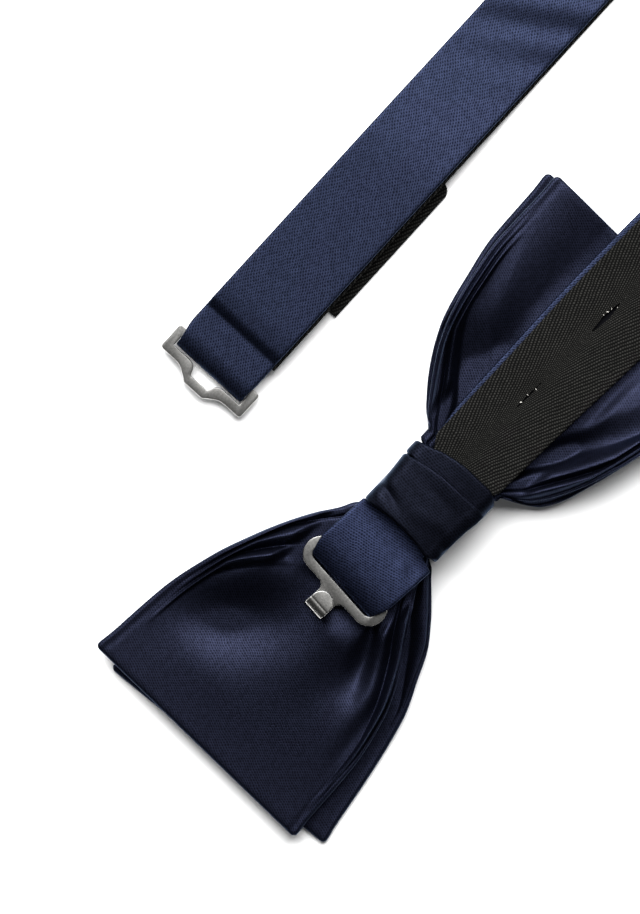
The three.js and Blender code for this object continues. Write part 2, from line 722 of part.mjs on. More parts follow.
function satinFrame(run) {
  const frame = bandFrame(run);
  const width = squeezed(frame, run, frame.width);
  const middle = frame.satinShift * smoothstep(run, knotRight, knotRight + 8);
  return {
    ...frame,
    at: frame.at.clone().addScaledVector(frame.face, satinOut),
    low: middle - width / 2,
    high: middle + width / 2,
  };
}

function tapeFrame(run) {
  const frame = bandFrame(run);
  const width = squeezed(frame, run, frame.width);
  const middle = frame.tapeShift * smoothstep(run, knotRight, knotRight + 8);
  return {
    ...frame,
    at: frame.at.clone().addScaledVector(frame.face, tapeOut),
    low: middle - width / 2,
    high: middle + width / 2,
  };
}

// The eye end: where the fold's bend starts, and how far its two layers lie apart.
const foldRun = totalRun - foldSpread - satinWall / 2;
const eyeFrame = satinFrame(foldRun);
const eyeBarZ = eyeFrame.at.z - foldSpread;
const eyeDirection = new THREE.Vector3(Math.cos(backHeading), Math.sin(backHeading), 0);

function neckbandSatin() {
  const insideStart = 1.0;
  const straight = bandRuns(insideStart, foldRun - 6).map(satinFrame);
  const path = new THREE.Path();
  path.moveTo(-2.5, 0);
  path.lineTo(0, 0);
  path.absarc(0, -foldSpread, foldSpread, Math.PI / 2, -Math.PI / 2, true);
  path.lineTo(-hemLength / 2, -2 * foldSpread);
  path.lineTo(-hemLength, -2 * foldSpread);
  const points = path.getPoints(8).filter((point, i, all) => {
    return i === 0 || point.distanceTo(all[i - 1]) > 0.05;
  });
  const origin = eyeFrame.at.clone();
  const pinched = eyePlateLength - 2 * barWidth - 2 * gap;
  const half = ({ x }) => lerp(eyeFrame.width, pinched, smoothstep(x, -barWidth - 3, -0.5)) / 2;
  const folded = planeFrames(points, origin, eyeDirection, () => 0, () => 0);
  const ends = folded.map((frame, i) => {
    const middle = eyeFrame.satinShift * (1 - smoothstep(points[i].x, -barWidth - 3, -0.5));
    return {
      at: frame.at,
      side: frame.side.clone().negate(),
      face: frame.face.clone().negate(),
      low: middle - half(points[i]),
      high: middle + half(points[i]),
    };
  });
  return strip([...straight, ...ends], satinWall);
}

function neckbandTape() {
  const insideStart = 1.0;
  const end = totalRun - eyeFold + 4;
  const whole = toSolid(strip(bandRuns(insideStart, end).map(tapeFrame), tapeWall));
  const slitWall = tapeWall * 3;
  const cutter = (middle) => {
    const shares = [-1, -0.6, 0, 0.6, 1];
    return strip(shares.map((share) => {
      const frame = tapeFrame(middle + (share * slitLength) / 2);
      const centre = (frame.low + frame.high) / 2 + slitShift;
      const open = (slitOpening / 2) * (1 - 0.8 * Math.abs(share));
      return { ...frame, low: centre - open, high: centre + open };
    }), slitWall, [[0, 1], [1, 1]]);
  };
  const slits = Array.from({ length: slitCount }, (_, i) => cutter(firstSlit + i * slitPitch));
  const cut = slits.reduce((solid, slit) => solid.subtract(toSolid(slit)), whole);
  return toGeometry(cut);
}

// Backing tab: a short piece of tape under the returning band, with one pair of corners round.
function backingTab() {
  const shape = new THREE.Shape();
  const [half, r] = [backingWidth / 2, 2.5];
  shape.moveTo(0, -half);
  shape.lineTo(backingLength - r, -half);
  shape.absarc(backingLength - r, -half + r, r, -Math.PI / 2, 0, false);
  shape.lineTo(backingLength, half - r);
  shape.absarc(backingLength - r, half - r, r, 0, Math.PI / 2, false);
  shape.lineTo(0, half);
  shape.closePath();
  return new THREE.ExtrudeGeometry(shape, { depth: tapeWall, bevelEnabled: false, curveSegments: 5 });
}

// Eye plate: a loop whose outer bar bulges away from the cloth, so that a hook can enter.
function eyePlate() {
  const inner = foldSpread - satinWall / 2 - gap - barWidth;
  const outer = inner + 2 * barWidth + satinWall + 2 * gap;
  const half = eyePlateLength / 2;
  const corner = 0.8;
  const [near, far] = [eyeOpening / 2, eyeOpening / 2 + 1.9];
  const shape = new THREE.Shape();
  shape.moveTo(inner + corner, -half);
  shape.lineTo(outer - corner, -half);
  shape.absarc(outer - corner, -half + corner, corner, -Math.PI / 2, 0, false);
  shape.lineTo(outer, -far - 0.9);
  shape.quadraticCurveTo(outer + 0.3, -far, outer + eyeBulge / 2, -(near + far) / 2 - 0.3);
  shape.quadraticCurveTo(outer + eyeBulge, -near - 0.3, outer + eyeBulge, -near + 0.6);
  shape.lineTo(outer + eyeBulge, near - 0.6);
  shape.quadraticCurveTo(outer + eyeBulge, near + 0.3, outer + eyeBulge / 2, (near + far) / 2 + 0.3);
  shape.quadraticCurveTo(outer + 0.3, far, outer, far + 0.9);
  shape.lineTo(outer, half - corner);
  shape.absarc(outer - corner, half - corner, corner, 0, Math.PI / 2, false);
  shape.lineTo(inner + corner, half);
  shape.absarc(inner + corner, half - corner, corner, Math.PI / 2, Math.PI, false);
  shape.lineTo(inner, -half + corner);
  shape.absarc(inner + corner, -half + corner, corner, Math.PI, Math.PI * 1.5, false);
  const window = new THREE.Path();
  const [x0, x1, y1] = [inner + barWidth, outer - barWidth, half - barWidth];
  const [open, shut] = [near - 0.6, far - 0.6];
  window.moveTo(x0, -y1);
  window.lineTo(x1, -y1);
  window.lineTo(x1, -shut);
  window.lineTo(x1 + eyeBulge, -open);
  window.lineTo(x1 + eyeBulge, open);
  window.lineTo(x1, shut);
  window.lineTo(x1, y1);
  window.lineTo(x0, y1);
  window.closePath();
  shape.holes.push(window);
  return plateSolid(shape);
}

// Materials and assembly

const navySatin = { color: 0x1c2747, roughness: 0.5, metalness: 0.0 };
const blackTape = { color: 0x15161a, roughness: 0.8, metalness: 0.0 };
const nickelSteel = { color: 0x9a9790, roughness: 0.35, metalness: 1.0 };

const bowTie = new THREE.Group();
bowTie.name = 'bow_tie';

function piece(name, geometry, finish) {
  const mesh = new THREE.Mesh(geometry, new THREE.MeshStandardMaterial(finish));
  mesh.name = name;
  bowTie.add(mesh);
  return mesh;
}

piece('front_leaf', leafSolid(leaves.front), navySatin);
piece('back_leaf', leafSolid(leaves.back), navySatin);
piece('knot_wrap', knotWrap(), navySatin);
piece('hook_tab', hookTab(), navySatin);

const hook = piece('hook_plate', hookPlate(), nickelSteel);
hook.rotation.z = Math.PI - degToRad(tabTilt);
hook.position.set(tabOrigin.x, tabOrigin.y, hookBarZ);

piece('neckband_satin', neckbandSatin(), navySatin);
piece('neckband_tape', neckbandTape(), blackTape);

const backing = piece('backing_tab', backingTab(), blackTape);
const backingAt = bandPlan(totalRun - eyeFold - backingStart);
backing.rotation.z = backHeading - Math.PI;
backing.position.set(backingAt.at.x, backingAt.at.y - backingShift, 0);

const eye = piece('eye_plate', eyePlate(), nickelSteel);
eye.rotation.z = backHeading;
eye.position.set(eyeFrame.at.x, eyeFrame.at.y, eyeBarZ);

export default bowTie;
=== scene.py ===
import math

import bmesh
import bpy
import numpy as np
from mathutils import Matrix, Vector


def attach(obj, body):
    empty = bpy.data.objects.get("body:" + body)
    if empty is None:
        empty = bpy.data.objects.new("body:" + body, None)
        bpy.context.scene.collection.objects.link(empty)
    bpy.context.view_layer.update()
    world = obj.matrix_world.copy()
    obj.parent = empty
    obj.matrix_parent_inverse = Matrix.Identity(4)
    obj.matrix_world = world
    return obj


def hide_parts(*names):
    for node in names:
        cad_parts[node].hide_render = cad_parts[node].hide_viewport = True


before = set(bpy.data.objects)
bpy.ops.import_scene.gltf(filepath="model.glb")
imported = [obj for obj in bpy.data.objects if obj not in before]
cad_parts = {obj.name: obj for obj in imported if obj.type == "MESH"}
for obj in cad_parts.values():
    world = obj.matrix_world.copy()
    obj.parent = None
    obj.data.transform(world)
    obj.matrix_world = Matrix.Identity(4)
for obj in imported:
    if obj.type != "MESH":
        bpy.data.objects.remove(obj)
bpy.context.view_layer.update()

scene = bpy.context.scene

# Camera, light and floor. The tie lies on its front on a pale table and is seen from straight
# above, turned so that the bow runs from low left to high right. A big softbox stands beyond the
# top of the picture.
mm = 0.001
picture_height = 914
pixels_per_mm = 5.2
bow_turn = math.radians(46)
view_centre = Vector((-8.9, 21.1, 5.0)) * mm
camera_height = 1.0


def placed(name, data):
    """A new object in the scene."""
    made = bpy.data.objects.new(name, data)
    scene.collection.objects.link(made)
    return made


camera_data = bpy.data.cameras.new("camera")
camera_data.sensor_width = 36
camera_data.lens = camera_data.sensor_width * camera_height / (picture_height / pixels_per_mm * mm)
camera = placed("camera", camera_data)
camera.location = view_centre + Vector((0, 0, camera_height))
camera.rotation_euler = (0, 0, -bow_turn)
scene.camera = camera
scene.view_settings.view_transform = "Standard"

picture_up = Vector((math.sin(bow_turn), math.cos(bow_turn), 0))
picture_right = Vector((math.cos(bow_turn), -math.sin(bow_turn), 0))


def soft_light(name, upwards, rightwards, height, width, depth, power):
    """A softbox that faces the middle of the picture, placed along the picture's own sides."""
    light = bpy.data.lights.new(name, "AREA")
    light.shape = "RECTANGLE"
    light.size, light.size_y, light.energy = width, depth, power
    lamp = placed(name, light)
    lamp.location = (view_centre + picture_up * upwards + picture_right * rightwards
                     + Vector((0, 0, height)))
    lamp.rotation_euler = (lamp.location - view_centre).to_track_quat("Z", "Y").to_euler()


soft_light("key_light", 0.75, 0.0, 0.75, 1.3, 1.3, 56)
soft_light("fill_light", -0.6, 0.5, 1.0, 0.8, 0.8, 1)

world = bpy.data.worlds.new("room")
world.use_nodes = True
world.node_tree.nodes["Background"].inputs["Color"].default_value = (0.9, 0.95, 1.0, 1)
world.node_tree.nodes["Background"].inputs["Strength"].default_value = 0.04
scene.world = world

floor_mesh = bpy.data.meshes.new("floor")
floor_half = 4.0
floor_mesh.from_pydata(
    [(x * floor_half, y * floor_half, 0) for x, y in ((-1, -1), (1, -1), (1, 1), (-1, 1))],
    [], [(0, 1, 2, 3)])
floor = placed("floor", floor_mesh)
floor.location.z = -0.02 * mm
paper = bpy.data.materials.new("white_paper")
paper.use_nodes = True
matt = paper.node_tree.nodes["Principled BSDF"].inputs
matt["Base Color"].default_value, matt["Roughness"].default_value = (0.9, 0.9, 0.9, 1), 0.9
floor_mesh.materials.append(paper)


# Leaves. Each is a flat tube of navy satin, sewn, turned and pressed, that runs from wing to wing
# and is gathered into deep pleats in the knot. The back leaf lies on top of the front leaf, which
# is turned a little, so that its ends and its lower edge show beside it.

# All sizes are in mm, and the gap keeps one layer off the next.
gap = 0.3
leaf_wall, gathered, wrap_wall, satin_wall = 1.5, 2.4, 1.0, 0.9
leaf_half, waist_half, arch_rise = 26.8, 7.6, 1.7
knot_left, knot_right = 8.2, 9.2
wings = {
    "hook": {"knot": knot_left + gap, "end": 65.1, "turn": math.radians(4.5)},
    "band": {"knot": knot_right + gap, "end": 61.8, "turn": math.radians(1.2)},
}
# Where each quarter's edge comes out beside the knot wrap, and the run in which it does.
emerging = {"hook_top": 8.0, "hook_bottom": 8.0, "band_top": 5.9, "band_bottom": 7.2}
emerging_run = 1.5
front_waist_z = wrap_wall + gap + gathered / 2
back_waist_z = front_waist_z + gathered + gap
satin_waist_z = back_waist_z + gathered / 2 + gap + satin_wall / 2
tab_length, tab_tilt = 23.7, math.radians(4.4)
wing_rest, twist_start, beside_band = 1.5, 62.0, 2.2
band_width = 19.1

# Half width of each quarter as a share of the way from the waist to the full width, by the share
# of the way out along the wing: hook side +Y, hook side -Y, band side +Y, band side -Y.
back_outline = np.array([
    (0, 0.05, 0.03, 0.12, 0.09), (0.04, 0.15, 0.07, 0.235, 0.235), (0.08, 0.21, 0.09, 0.32, 0.36),
    (0.15, 0.35, 0.21, 0.46, 0.49), (0.25, 0.51, 0.39, 0.63, 0.62), (0.35, 0.64, 0.59, 0.75, 0.71),
    (0.5, 0.8, 0.79, 0.86, 0.82), (0.7, 0.93, 0.91, 0.94, 0.92), (1, 1, 0.96, 0.95, 0.97)])
front_outline = np.array([
    (0, 0.05, 0.05, 0.1, 0.09), (0.04, 0.15, 0.15, 0.25, 0.3), (0.08, 0.21, 0.26, 0.35, 0.45),
    (0.15, 0.34, 0.43, 0.5, 0.57), (0.25, 0.5, 0.6, 0.66, 0.67), (0.35, 0.64, 0.68, 0.77, 0.76),
    (0.5, 0.8, 0.8, 0.86, 0.87), (0.7, 0.93, 0.89, 0.95, 0.94), (1, 1, 0.97, 0.97, 0.99)])

# Pleats of each quarter from the edge inwards: share of the half width in the knot, where along
# the wing the line starts to run out to the edge and how fast, rise, where it has faded, and how
# sharp its valley is.
back_pleats = {
    "hook_top": [
        (0.86, -0.195, 6.5, 0.9, 0.62, 1), (0.76, -0.07, 6.5, -1, 0.62, 1),
        (0.63, 0.023, 6.5, 1.4, 0.7, 1), (0.5, 0.1, 6.5, -1.1, 0.74, 0.8),
        (0.36, 0.158, 6.5, 1.5, 0.85, 0.3), (0.18, 0.213, 5.85, -1.2, 0.8, 0)],
    "hook_bottom": [
        (0.88, -0.9, 3, -1.2, 0.85, 1), (0.77, -0.43, 3, 1.5, 0.95, 1),
        (0.65, -0.3, 2.4, -1.3, 0.7, 1), (0.52, -0.26, 1.9, 0.9, 0.7, 0.6),
        (0.36, -0.26, 1.3, -1.4, 0.6, 0), (0.2, -0.1, 0.9, 0.6, 0.7, 0)],
    "band_top": [
        (0.93, -0.3, 5, -0.6, 0.9, 1), (0.87, -0.02, 5, 0.9, 0.9, 1),
        (0.81, 0, 5, -0.7, 0.75, 1), (0.75, 0, 5, 1.2, 0.8, 0.7),
        (0.52, 0.02, 5, -1.8, 0.75, 0), (0.2, 0.08, 2.5, 0.2, 0.9, 0)],
    "band_bottom": [
        (0.93, -0.3, 5, -0.6, 0.8, 1), (0.86, -0.02, 5, 0.9, 0.8, 1),
        (0.79, 0, 5, -0.7, 0.7, 0.9), (0.72, 0, 4.5, 1.1, 0.8, 0.6),
        (0.5, 0.02, 3.5, -1.8, 0.8, 0), (0.2, 0.08, 2, 0.3, 0.8, 0)],
}
front_pleats = [
    (0.88, -0.5, 5, -0.7, 0.5, 1), (0.74, -0.2, 5, 0.6, 0.5, 0.8),
    (0.55, -0.05, 4.5, -0.9, 0.6, 0.4), (0.3, 0.05, 3, 0.3, 0.6, 0)]

# Broad hollows and swells: middle in X and Y, half length, half widths on the two sides of the
# long axis, the axis' angle in degrees and the depth. A deep hollow opens beside the knot, and a
# second one below the tab.
wing_dents = {
    "hook": [
        (-41.8, 12.3, 13.5, 8, 7.5, -50, -3), (-33, 14.5, 14, 3.5, 6, -26, 2),
        (-27, 3, 8, 7, 5, -50, -1),
        (-28, -2.5, 7, 3, 3, 15, 0.5), (-32, -13, 9, 4.5, 5.5, -9, -2),
        (-41, -20.6, 8, 1.6, 1.6, 10, -0.8), (-52, 15, 10, 4, 4, 80, 0.3)],
    "band": [
        (27.8, 9.8, 10.5, 6, 4, 16, -3.8), (39, 20, 9, 2.2, 2.2, 35, -0.5),
        (48, 12, 8, 3.5, 3.5, 10, -0.5), (24, -11.8, 10, 3.2, 3, -15, -2.5),
        (44, -19, 9, 2.5, 2.5, -12, -0.5)],
}


def blend(a, b, t):
    return a + (b - a) * t


def smooth(x, low, high):
    """Smooth step from 0 at low to 1 at high."""
    t = np.clip((x - low) / (high - low), 0, 1)
    return t * t * (3 - 2 * t)


def higher(a, b, softness):
    """The higher of two heights, with a round change from one to the other."""
    return (a + b + np.sqrt((a - b) ** 2 + softness**2)) / 2


def curve_through(places, values, at):
    """Value at a place on a smooth curve through a table's rows that doesn't overshoot them."""
    places, values = np.asarray(places, float), np.asarray(values, float)
    steps = np.diff(places)
    rises = np.diff(values) / steps
    before, after = rises[:-1], rises[1:]
    same_way = before * after > 0
    total = np.where(same_way, before + after, 1)
    inner = np.where(same_way, 2 * before * after / total, 0)
    slopes = np.concatenate([rises[:1], inner, rises[-1:]])
    i = np.clip(np.searchsorted(places, at, side="right") - 1, 0, len(steps) - 1)
    t = np.clip((at - places[i]) / steps[i], 0, 1)
    return ((2 * t**3 - 3 * t**2 + 1) * values[i] + (t**3 - 2 * t**2 + t) * steps[i] * slopes[i]
            + (3 * t**2 - 2 * t**3) * values[i + 1] + (t**3 - t**2) * steps[i] * slopes[i + 1])


rim_steps = np.array([0.0, 0.08, 0.28, 0.6, 1.0])


def rimmed(low, high, count, radius):
    """Places from low to high, closer together at both ends, where the cloth's edge turns."""
    low, high = np.asarray(low, float)[..., None], np.asarray(high, float)[..., None]
    inner = np.linspace(0, 1, count + 2)[1:-1]
    return np.concatenate([
        low + radius * rim_steps,
        low + radius + (high - low - 2 * radius) * inner,
        high - radius * rim_steps[::-1]], axis=-1)


def spaced(low, high, radius, anchors, counts):
    """The same, with lines on the anchors and a fixed number of steps between neighbours."""
    ends = low + radius, high - radius
    apart = 0.04 * np.arange(len(anchors) + 2)
    marks = np.maximum([ends[0], *anchors, ends[1]], ends[0] + apart)
    marks = np.minimum(marks, ends[1] - apart[::-1])
    inner = [np.linspace(a, b, n + 1)[1:] for a, b, n in zip(marks, marks[1:], counts)]
    return np.concatenate([low + radius * rim_steps, *inner[:-1], inner[-1][:-1],
                           high - radius * rim_steps[::-1]])


def rim_shape(count):
    """Share of the wall at a count of those places: round at both ends and full between."""
    turn = np.sqrt(1 - (1 - rim_steps) ** 2)
    return np.concatenate([turn, np.ones(count - 2 * len(turn)), turn[::-1]])


def cloth(name, middle, wall, along, across, material, woven=None, upright=False):
    """Closed cloth with round edges, a wall on both sides of a grid of middle points in mm. Its
    threads follow lengths along and across it. The wall is measured upright where narrow pleats
    would make it cross itself."""
    rows, lines = middle.shape[:2]
    out = np.cross(np.gradient(middle, axis=0), np.gradient(middle, axis=1))
    out /= np.linalg.norm(out, axis=2, keepdims=True)
    if upright:
        out = np.broadcast_to((0.0, 0.0, 1.0), out.shape)
    wall = wall * np.minimum.outer(rim_shape(rows), rim_shape(lines))
    weave = woven(along, across) if woven else np.stack(np.broadcast_arrays(along, across), -1)
    inside = np.zeros((rows, lines), bool)
    inside[1:-1, 1:-1] = True
    half = (wall / 2 * inside)[..., None]
    upper = np.arange(rows * lines).reshape(rows, lines)
    lower = upper.copy()
    lower[inside] = rows * lines + np.arange(inside.sum())
    points = np.concatenate([
        (middle + out * half).reshape(-1, 3), (middle - out * half)[inside]]) * mm
    threads = np.concatenate([weave.reshape(-1, 2), weave[inside]]) * mm

    def quads(ids):
        corners = [ids[:-1, :-1], ids[1:, :-1], ids[1:, 1:], ids[:-1, 1:]]
        return np.stack(corners, axis=-1).reshape(-1, 4)

    faces = np.concatenate([quads(upper), quads(lower)[:, ::-1]])
    mesh = bpy.data.meshes.new(name)
    mesh.from_pydata(points.tolist(), [], faces.tolist())
    layer = mesh.uv_layers.new(name="weave")
    layer.data.foreach_set("uv", threads[faces.ravel()].astype(np.float32).ravel())
    mesh.shade_smooth()
    mesh.materials.append(material)
    return placed(name, mesh)


def arc_lengths(points):
    """Length along each row of a grid, from nought at its middle line."""
    steps = np.linalg.norm(np.diff(points, axis=1), axis=2)
    total = np.concatenate([np.zeros((len(points), 1)), np.cumsum(steps, axis=1)], axis=1)
    return total - total[:, points.shape[1] // 2][:, None]


def feed(tree, socket, value):
    """Link a socket to another node, or set its value."""
    value = getattr(value, "socket", value)
    if isinstance(value, bpy.types.NodeSocket):
        tree.links.new(value, socket)
    else:
        socket.default_value = value


def add_node(tree, kind, settings=(), values=()):
    """A node from its type, its settings and its sockets' values or links. Gives its outputs."""
    made = tree.nodes.new(kind)
    for key, value in dict(settings).items():
        setattr(made, key, value)
    for key, value in dict(values).items():
        feed(tree, made.inputs[key], value)
    return made.outputs


class Amount:
    """A number that changes over a surface. Sums, products and the like add their Math nodes."""

    def __init__(self, finish, socket):
        self.finish, self.socket = finish, socket

    def math(self, operation, *others):
        values = dict(enumerate((self, *others)))
        return self.finish.node("ShaderNodeMath", {"operation": operation}, values)

    def __add__(self, other):
        return self.math("ADD", other)

    def __mul__(self, other):
        return self.math("MULTIPLY", other)

    def __sub__(self, other):
        return self.math("SUBTRACT", other)

    def __rsub__(self, other):
        return self.finish.node("ShaderNodeMath", {"operation": "SUBTRACT"}, {0: other, 1: self})

    def __pow__(self, other):
        return self.math("POWER", other)

    __radd__ = __add__
    __rmul__ = __mul__


class Finish:
    """A material being put together, with the constants of its surface set on the shader."""

    def __init__(self, name, **constants):
        self.material = bpy.data.materials.new(name)
        self.material.use_nodes = True
        self.tree = self.material.node_tree
        self.shader = self.tree.nodes["Principled BSDF"]
        self.surface(**constants)

    def node(self, kind, settings=(), values=(), out=0):
        return Amount(self, add_node(self.tree, kind, settings, values)[out])

    def between(self, factor, low, high):
        colours = {0: factor, 6: (*low, 1), 7: (*high, 1)}
        return self.node("ShaderNodeMix", {"data_type": "RGBA"}, colours, out=2)

    def surface(self, **values):
        for socket, value in values.items():
            feed(self.tree, self.shader.inputs[socket.replace("_", " ")], value)

    def thread_grid(self, angle, along, across):
        """Waves along and across staggered rows of threads, the slanting line through them, and a
        random number for each thread."""
        turn = {"Vector": self.node("ShaderNodeUVMap", {"uv_map": "weave"}),
                "Rotation": (0, 0, -math.radians(angle))}
        turned = self.node("ShaderNodeMapping", (), turn)
        split = [self.node("ShaderNodeSeparateXYZ", (), {0: turned}, out=i) for i in (0, 1)]
        wander = self.blotches(350, 1.0)
        row = split[1] * (1 / across) + wander * 0.6
        number = row.math("FLOOR")
        straight = split[0] * (1 / along) + wander * 1.2
        place = straight + number * 0.5
        slant = ((straight + row * 0.5 - 0.25) * math.pi).math("SINE") ** 2
        knots, rows = (place * math.pi).math("SINE") ** 2, (row * math.pi).math("SINE") ** 2
        cell = self.node("ShaderNodeCombineXYZ", (), {0: place.math("FLOOR"), 1: number})
        chance = self.node("ShaderNodeTexWhiteNoise", {"noise_dimensions": "2D"}, {"Vector": cell})
        return knots, rows, slant, chance

    def blotches(self, scale, detail=2.0):
        """Slow change over the cloth, from 0 to 1."""
        thread = self.node("ShaderNodeUVMap", {"uv_map": "weave"})
        noise = {"Vector": thread, "Scale": scale, "Detail": detail}
        return self.node("ShaderNodeTexNoise", {"noise_dimensions": "2D"}, noise)

    def relief(self, height, depth, strength=1.0):
        bump = {"Height": height, "Distance": depth * mm, "Strength": strength}
        return self.node("ShaderNodeBump", (), bump)


def satin(name, angle, along, across, bright, dark=(0.0003, 0.0003, 0.0006)):
    """Navy satin: pale floats with a dark spot where each ends, in rows at an angle."""
    finish = Finish(
        name, Metallic=0.95, Specular_Tint=(0.7, 0.8, 1.0, 1), Specular_IOR_Level=0.25)
    knots, rows, slant, chance = finish.thread_grid(angle, along, across)
    floats = (1 - knots * rows * 0.85) * (1 - slant * 0.35) * (0.65 + chance * 0.35)
    slow = finish.blotches(90)
    finish.surface(
        Base_Color=finish.between(floats, dark, bright),
        Roughness=0.47 - floats * 0.05 + slow * 0.06,
        Normal=finish.relief(floats, 0.02, 0.8))
    return finish.material


wing_satin = satin(
    "wing_satin", -46, 0.00048, 0.00052, (0.0148, 0.017, 0.033), (0.0006, 0.0006, 0.001))


def half_widths(outline, quarter, along, x):
    """Half width of a quarter. Inside the wrap it is the gathered waist's."""
    column, out = 1 + list(emerging).index(quarter), emerging[quarter]
    share = curve_through(outline[:, 0], outline[:, column], np.maximum(along, 0))
    return blend(waist_half, leaf_half, share * smooth(abs(x), out, out + emerging_run))


def pleat_lines(rows, half, along):
    """Places and heights of a quarter's pleats across one station, from the edge inwards."""
    nearest_edge, apart = 0.965, 0.022
    places, heights = [], []
    for i, (knot, start, rate, rise, fade, _) in enumerate(rows):
        out = max(1 - math.exp(-rate * (along - start)), 0)
        share = min((knot**5 + out**5) ** 0.2, nearest_edge - apart * i)
        grown = blend(0.4, 1, smooth(along, 0, 0.1))
        places.append(half * share)
        heights.append(rise * grown * (1 - smooth(along, fade * 0.45, fade)))
    return places, heights


def pleated(y, places, heights, sharpness):
    """Height across a station: rolled pleats with sharp valleys near the edge, soft inside."""
    i = np.clip(np.searchsorted(places, y, side="right") - 1, 0, len(places) - 2)
    t = np.clip((y - places[i]) / (places[i + 1] - places[i]), 0, 1)
    a, b = heights[i], heights[i + 1]
    soft = a + (b - a) * t * t * (3 - 2 * t)
    rolled = np.minimum(a, b) + np.abs(a - b) * np.cos(np.where(a > b, t, 1 - t) * math.pi / 2)
    return blend(soft, rolled, (sharpness[i] + sharpness[i + 1]) / 2)


def dent_height(side, x, y):
    total = 0
    for x0, y0, length, left, right, angle, depth in wing_dents[side]:
        dx, dy, turn = x - x0, y - y0, math.radians(angle)
        u = (dx * math.cos(turn) + dy * math.sin(turn)) / length
        v = dy * math.cos(turn) - dx * math.sin(turn)
        v = np.where(v > 0, v / left, v / right)
        total = total + depth * np.exp(-u * u - v * v)
    # The neckband holds its wing down in the middle, so the wing rises on both sides of it.
    if side == "band":
        total = total + beside_band * smooth(np.abs(y), 7, 23) * smooth(x, 12, 32)
    return total


def pressed(x, y, height):
    """The cloth is pressed down where the tab and the neckband lie on it."""
    past_plate, past_wing, beside, away = 3, 130, 1.6, 4
    on_tab = x < 0
    middle = np.where(on_tab, -math.tan(tab_tilt) * (x + knot_left), 0)
    reach = np.where(on_tab, tab_length + past_plate, past_wing)
    drop = wing_rest * smooth(x, knot_right, twist_start)
    under = satin_waist_z - satin_wall / 2 - 1.5 * gap - leaf_wall / 2 - drop
    across = 1 - smooth(np.abs(y - middle), band_width / 2 + beside, band_width / 2 + away)
    along = 1 - smooth(np.abs(x), reach, reach + 6)
    return blend(height, -higher(-height, -under, 0.25), across * along)


# The sewn corners' rounding, and the width and length of their ears. Depth, place and half width
# of the groove inside the pressed edge.
corner_radius, corner_ear, ear_run = 1.2, 0.3, 3
groove_depth, groove_inwards, groove_half = 0.12, 1.6, 0.7
# Stations stand on these places along the bow, with so many steps before, between and after them.
station_marks, station_counts = [-36, -knot_left, 6.6, 34], [34, 76, 20, 68, 34]
# Steps between one pleat's line and the next, from the edge to the middle, by the number of pleats.
line_counts = {6: [6, 9, 9, 9, 9, 14, 30], 4: [8, 12, 12, 20, 34]}


def leaf(name, outline, pleats, levels, beneath, arch, turned, shortfall, dented, curl):
    """One leaf, from its stations along X and its lines across, in the knot and both wings."""
    counts = line_counts[len(pleats["hook_top"])]
    counts = counts + counts[::-1]
    xs = spaced(shortfall - wings["hook"]["end"], wings["band"]["end"], leaf_wall / 2,
                station_marks, station_counts)
    grid = np.zeros((len(xs), sum(counts) - 1 + 2 * len(rim_steps), 3))
    for row, x in enumerate(xs):
        side = "hook" if x < 0 else "band"
        wing = wings[side]
        end = wing["end"] - (shortfall if x < 0 else 0)
        along = (abs(x) - wing["knot"]) / (end - wing["knot"])
        top, bottom = pleats[side + "_top"], pleats[side + "_bottom"]
        up = half_widths(outline, side + "_top", along, x)
        down = half_widths(outline, side + "_bottom", along, x)
        low_places, low_heights = pleat_lines(bottom, down, along)
        high_places, high_heights = pleat_lines(top, up, along)
        places = [-down, *(-p for p in low_places)]
        centre = (high_places[-1] - low_places[-1]) / 2
        places = np.array([*places, centre, *high_places[::-1], up])
        # The sewn corners are rounded, and stick out a little before they turn.
        from_end = abs(end - abs(x))
        cut = (corner_radius - math.sqrt(corner_radius**2 - max(corner_radius - from_end, 0) ** 2)
               - corner_ear * math.exp(-(from_end / ear_run) ** 2))
        up, down = up - cut, down - cut
        y = spaced(-down, up, leaf_wall / 2, places[1:-1], counts)
        heights = np.array([0, *low_heights, 0, *high_heights[::-1], 0])
        sharpness = [1.0, *(r[5] for r in bottom), 0, *(r[5] for r in top[::-1]), 1.0]
        folds = pleated(y, places, heights, np.array(sharpness))
        shared = smooth(along, 0.05, 0.75)
        rise = arch * math.sin(math.pi * min(max(along, 0), 1) ** 0.7) ** 2
        level = blend(*levels, shared) + rise
        depth = dented * smooth(along, 0.05, 0.3)
        bend = curl * (y / waist_half) ** 6 * (1 - smooth(along, 0, 0.04))
        from_groove = (np.minimum(up - y, y + down) - groove_inwards) / groove_half
        groove = -groove_depth * np.exp(-from_groove ** 2) * smooth(along, 0.3, 0.6)
        z = pressed(x, y, level + folds + bend + groove + depth * dent_height(side, x, y))
        z = higher(z, blend(*beneath, shared), 0.12)
        turn = turned * wing["turn"] * smooth(along, 0, 0.5)
        grid[row, :, 0] = x * math.cos(turn) - y * math.sin(turn)
        grid[row, :, 1] = x * math.sin(turn) + y * math.cos(turn)
        grid[row, :, 2] = z
    across = arc_lengths(grid) + grid[:, grid.shape[1] // 2, 1][:, None]
    piece = cloth(name, grid, leaf_wall, xs[:, None], across, wing_satin, upright=True)
    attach(piece, "root")
    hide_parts(name.replace("_cloth", ""))
    return piece


front_leaf = leaf(
    "front_leaf_cloth", front_outline, {quarter: front_pleats for quarter in back_pleats},
    (front_waist_z, leaf_wall / 2), (leaf_wall / 2, leaf_wall / 2),
    arch=0.25, turned=1, shortfall=0.7, dented=0.4, curl=0.9)
back_leaf = leaf(
    "back_leaf_cloth", back_outline, back_pleats,
    (back_waist_z, leaf_wall * 1.5 + gap + 1.05),
    (front_waist_z + leaf_wall + 0.1, leaf_wall * 1.5 + 0.1),
    arch=arch_rise, turned=0, shortfall=0, dented=1, curl=0)


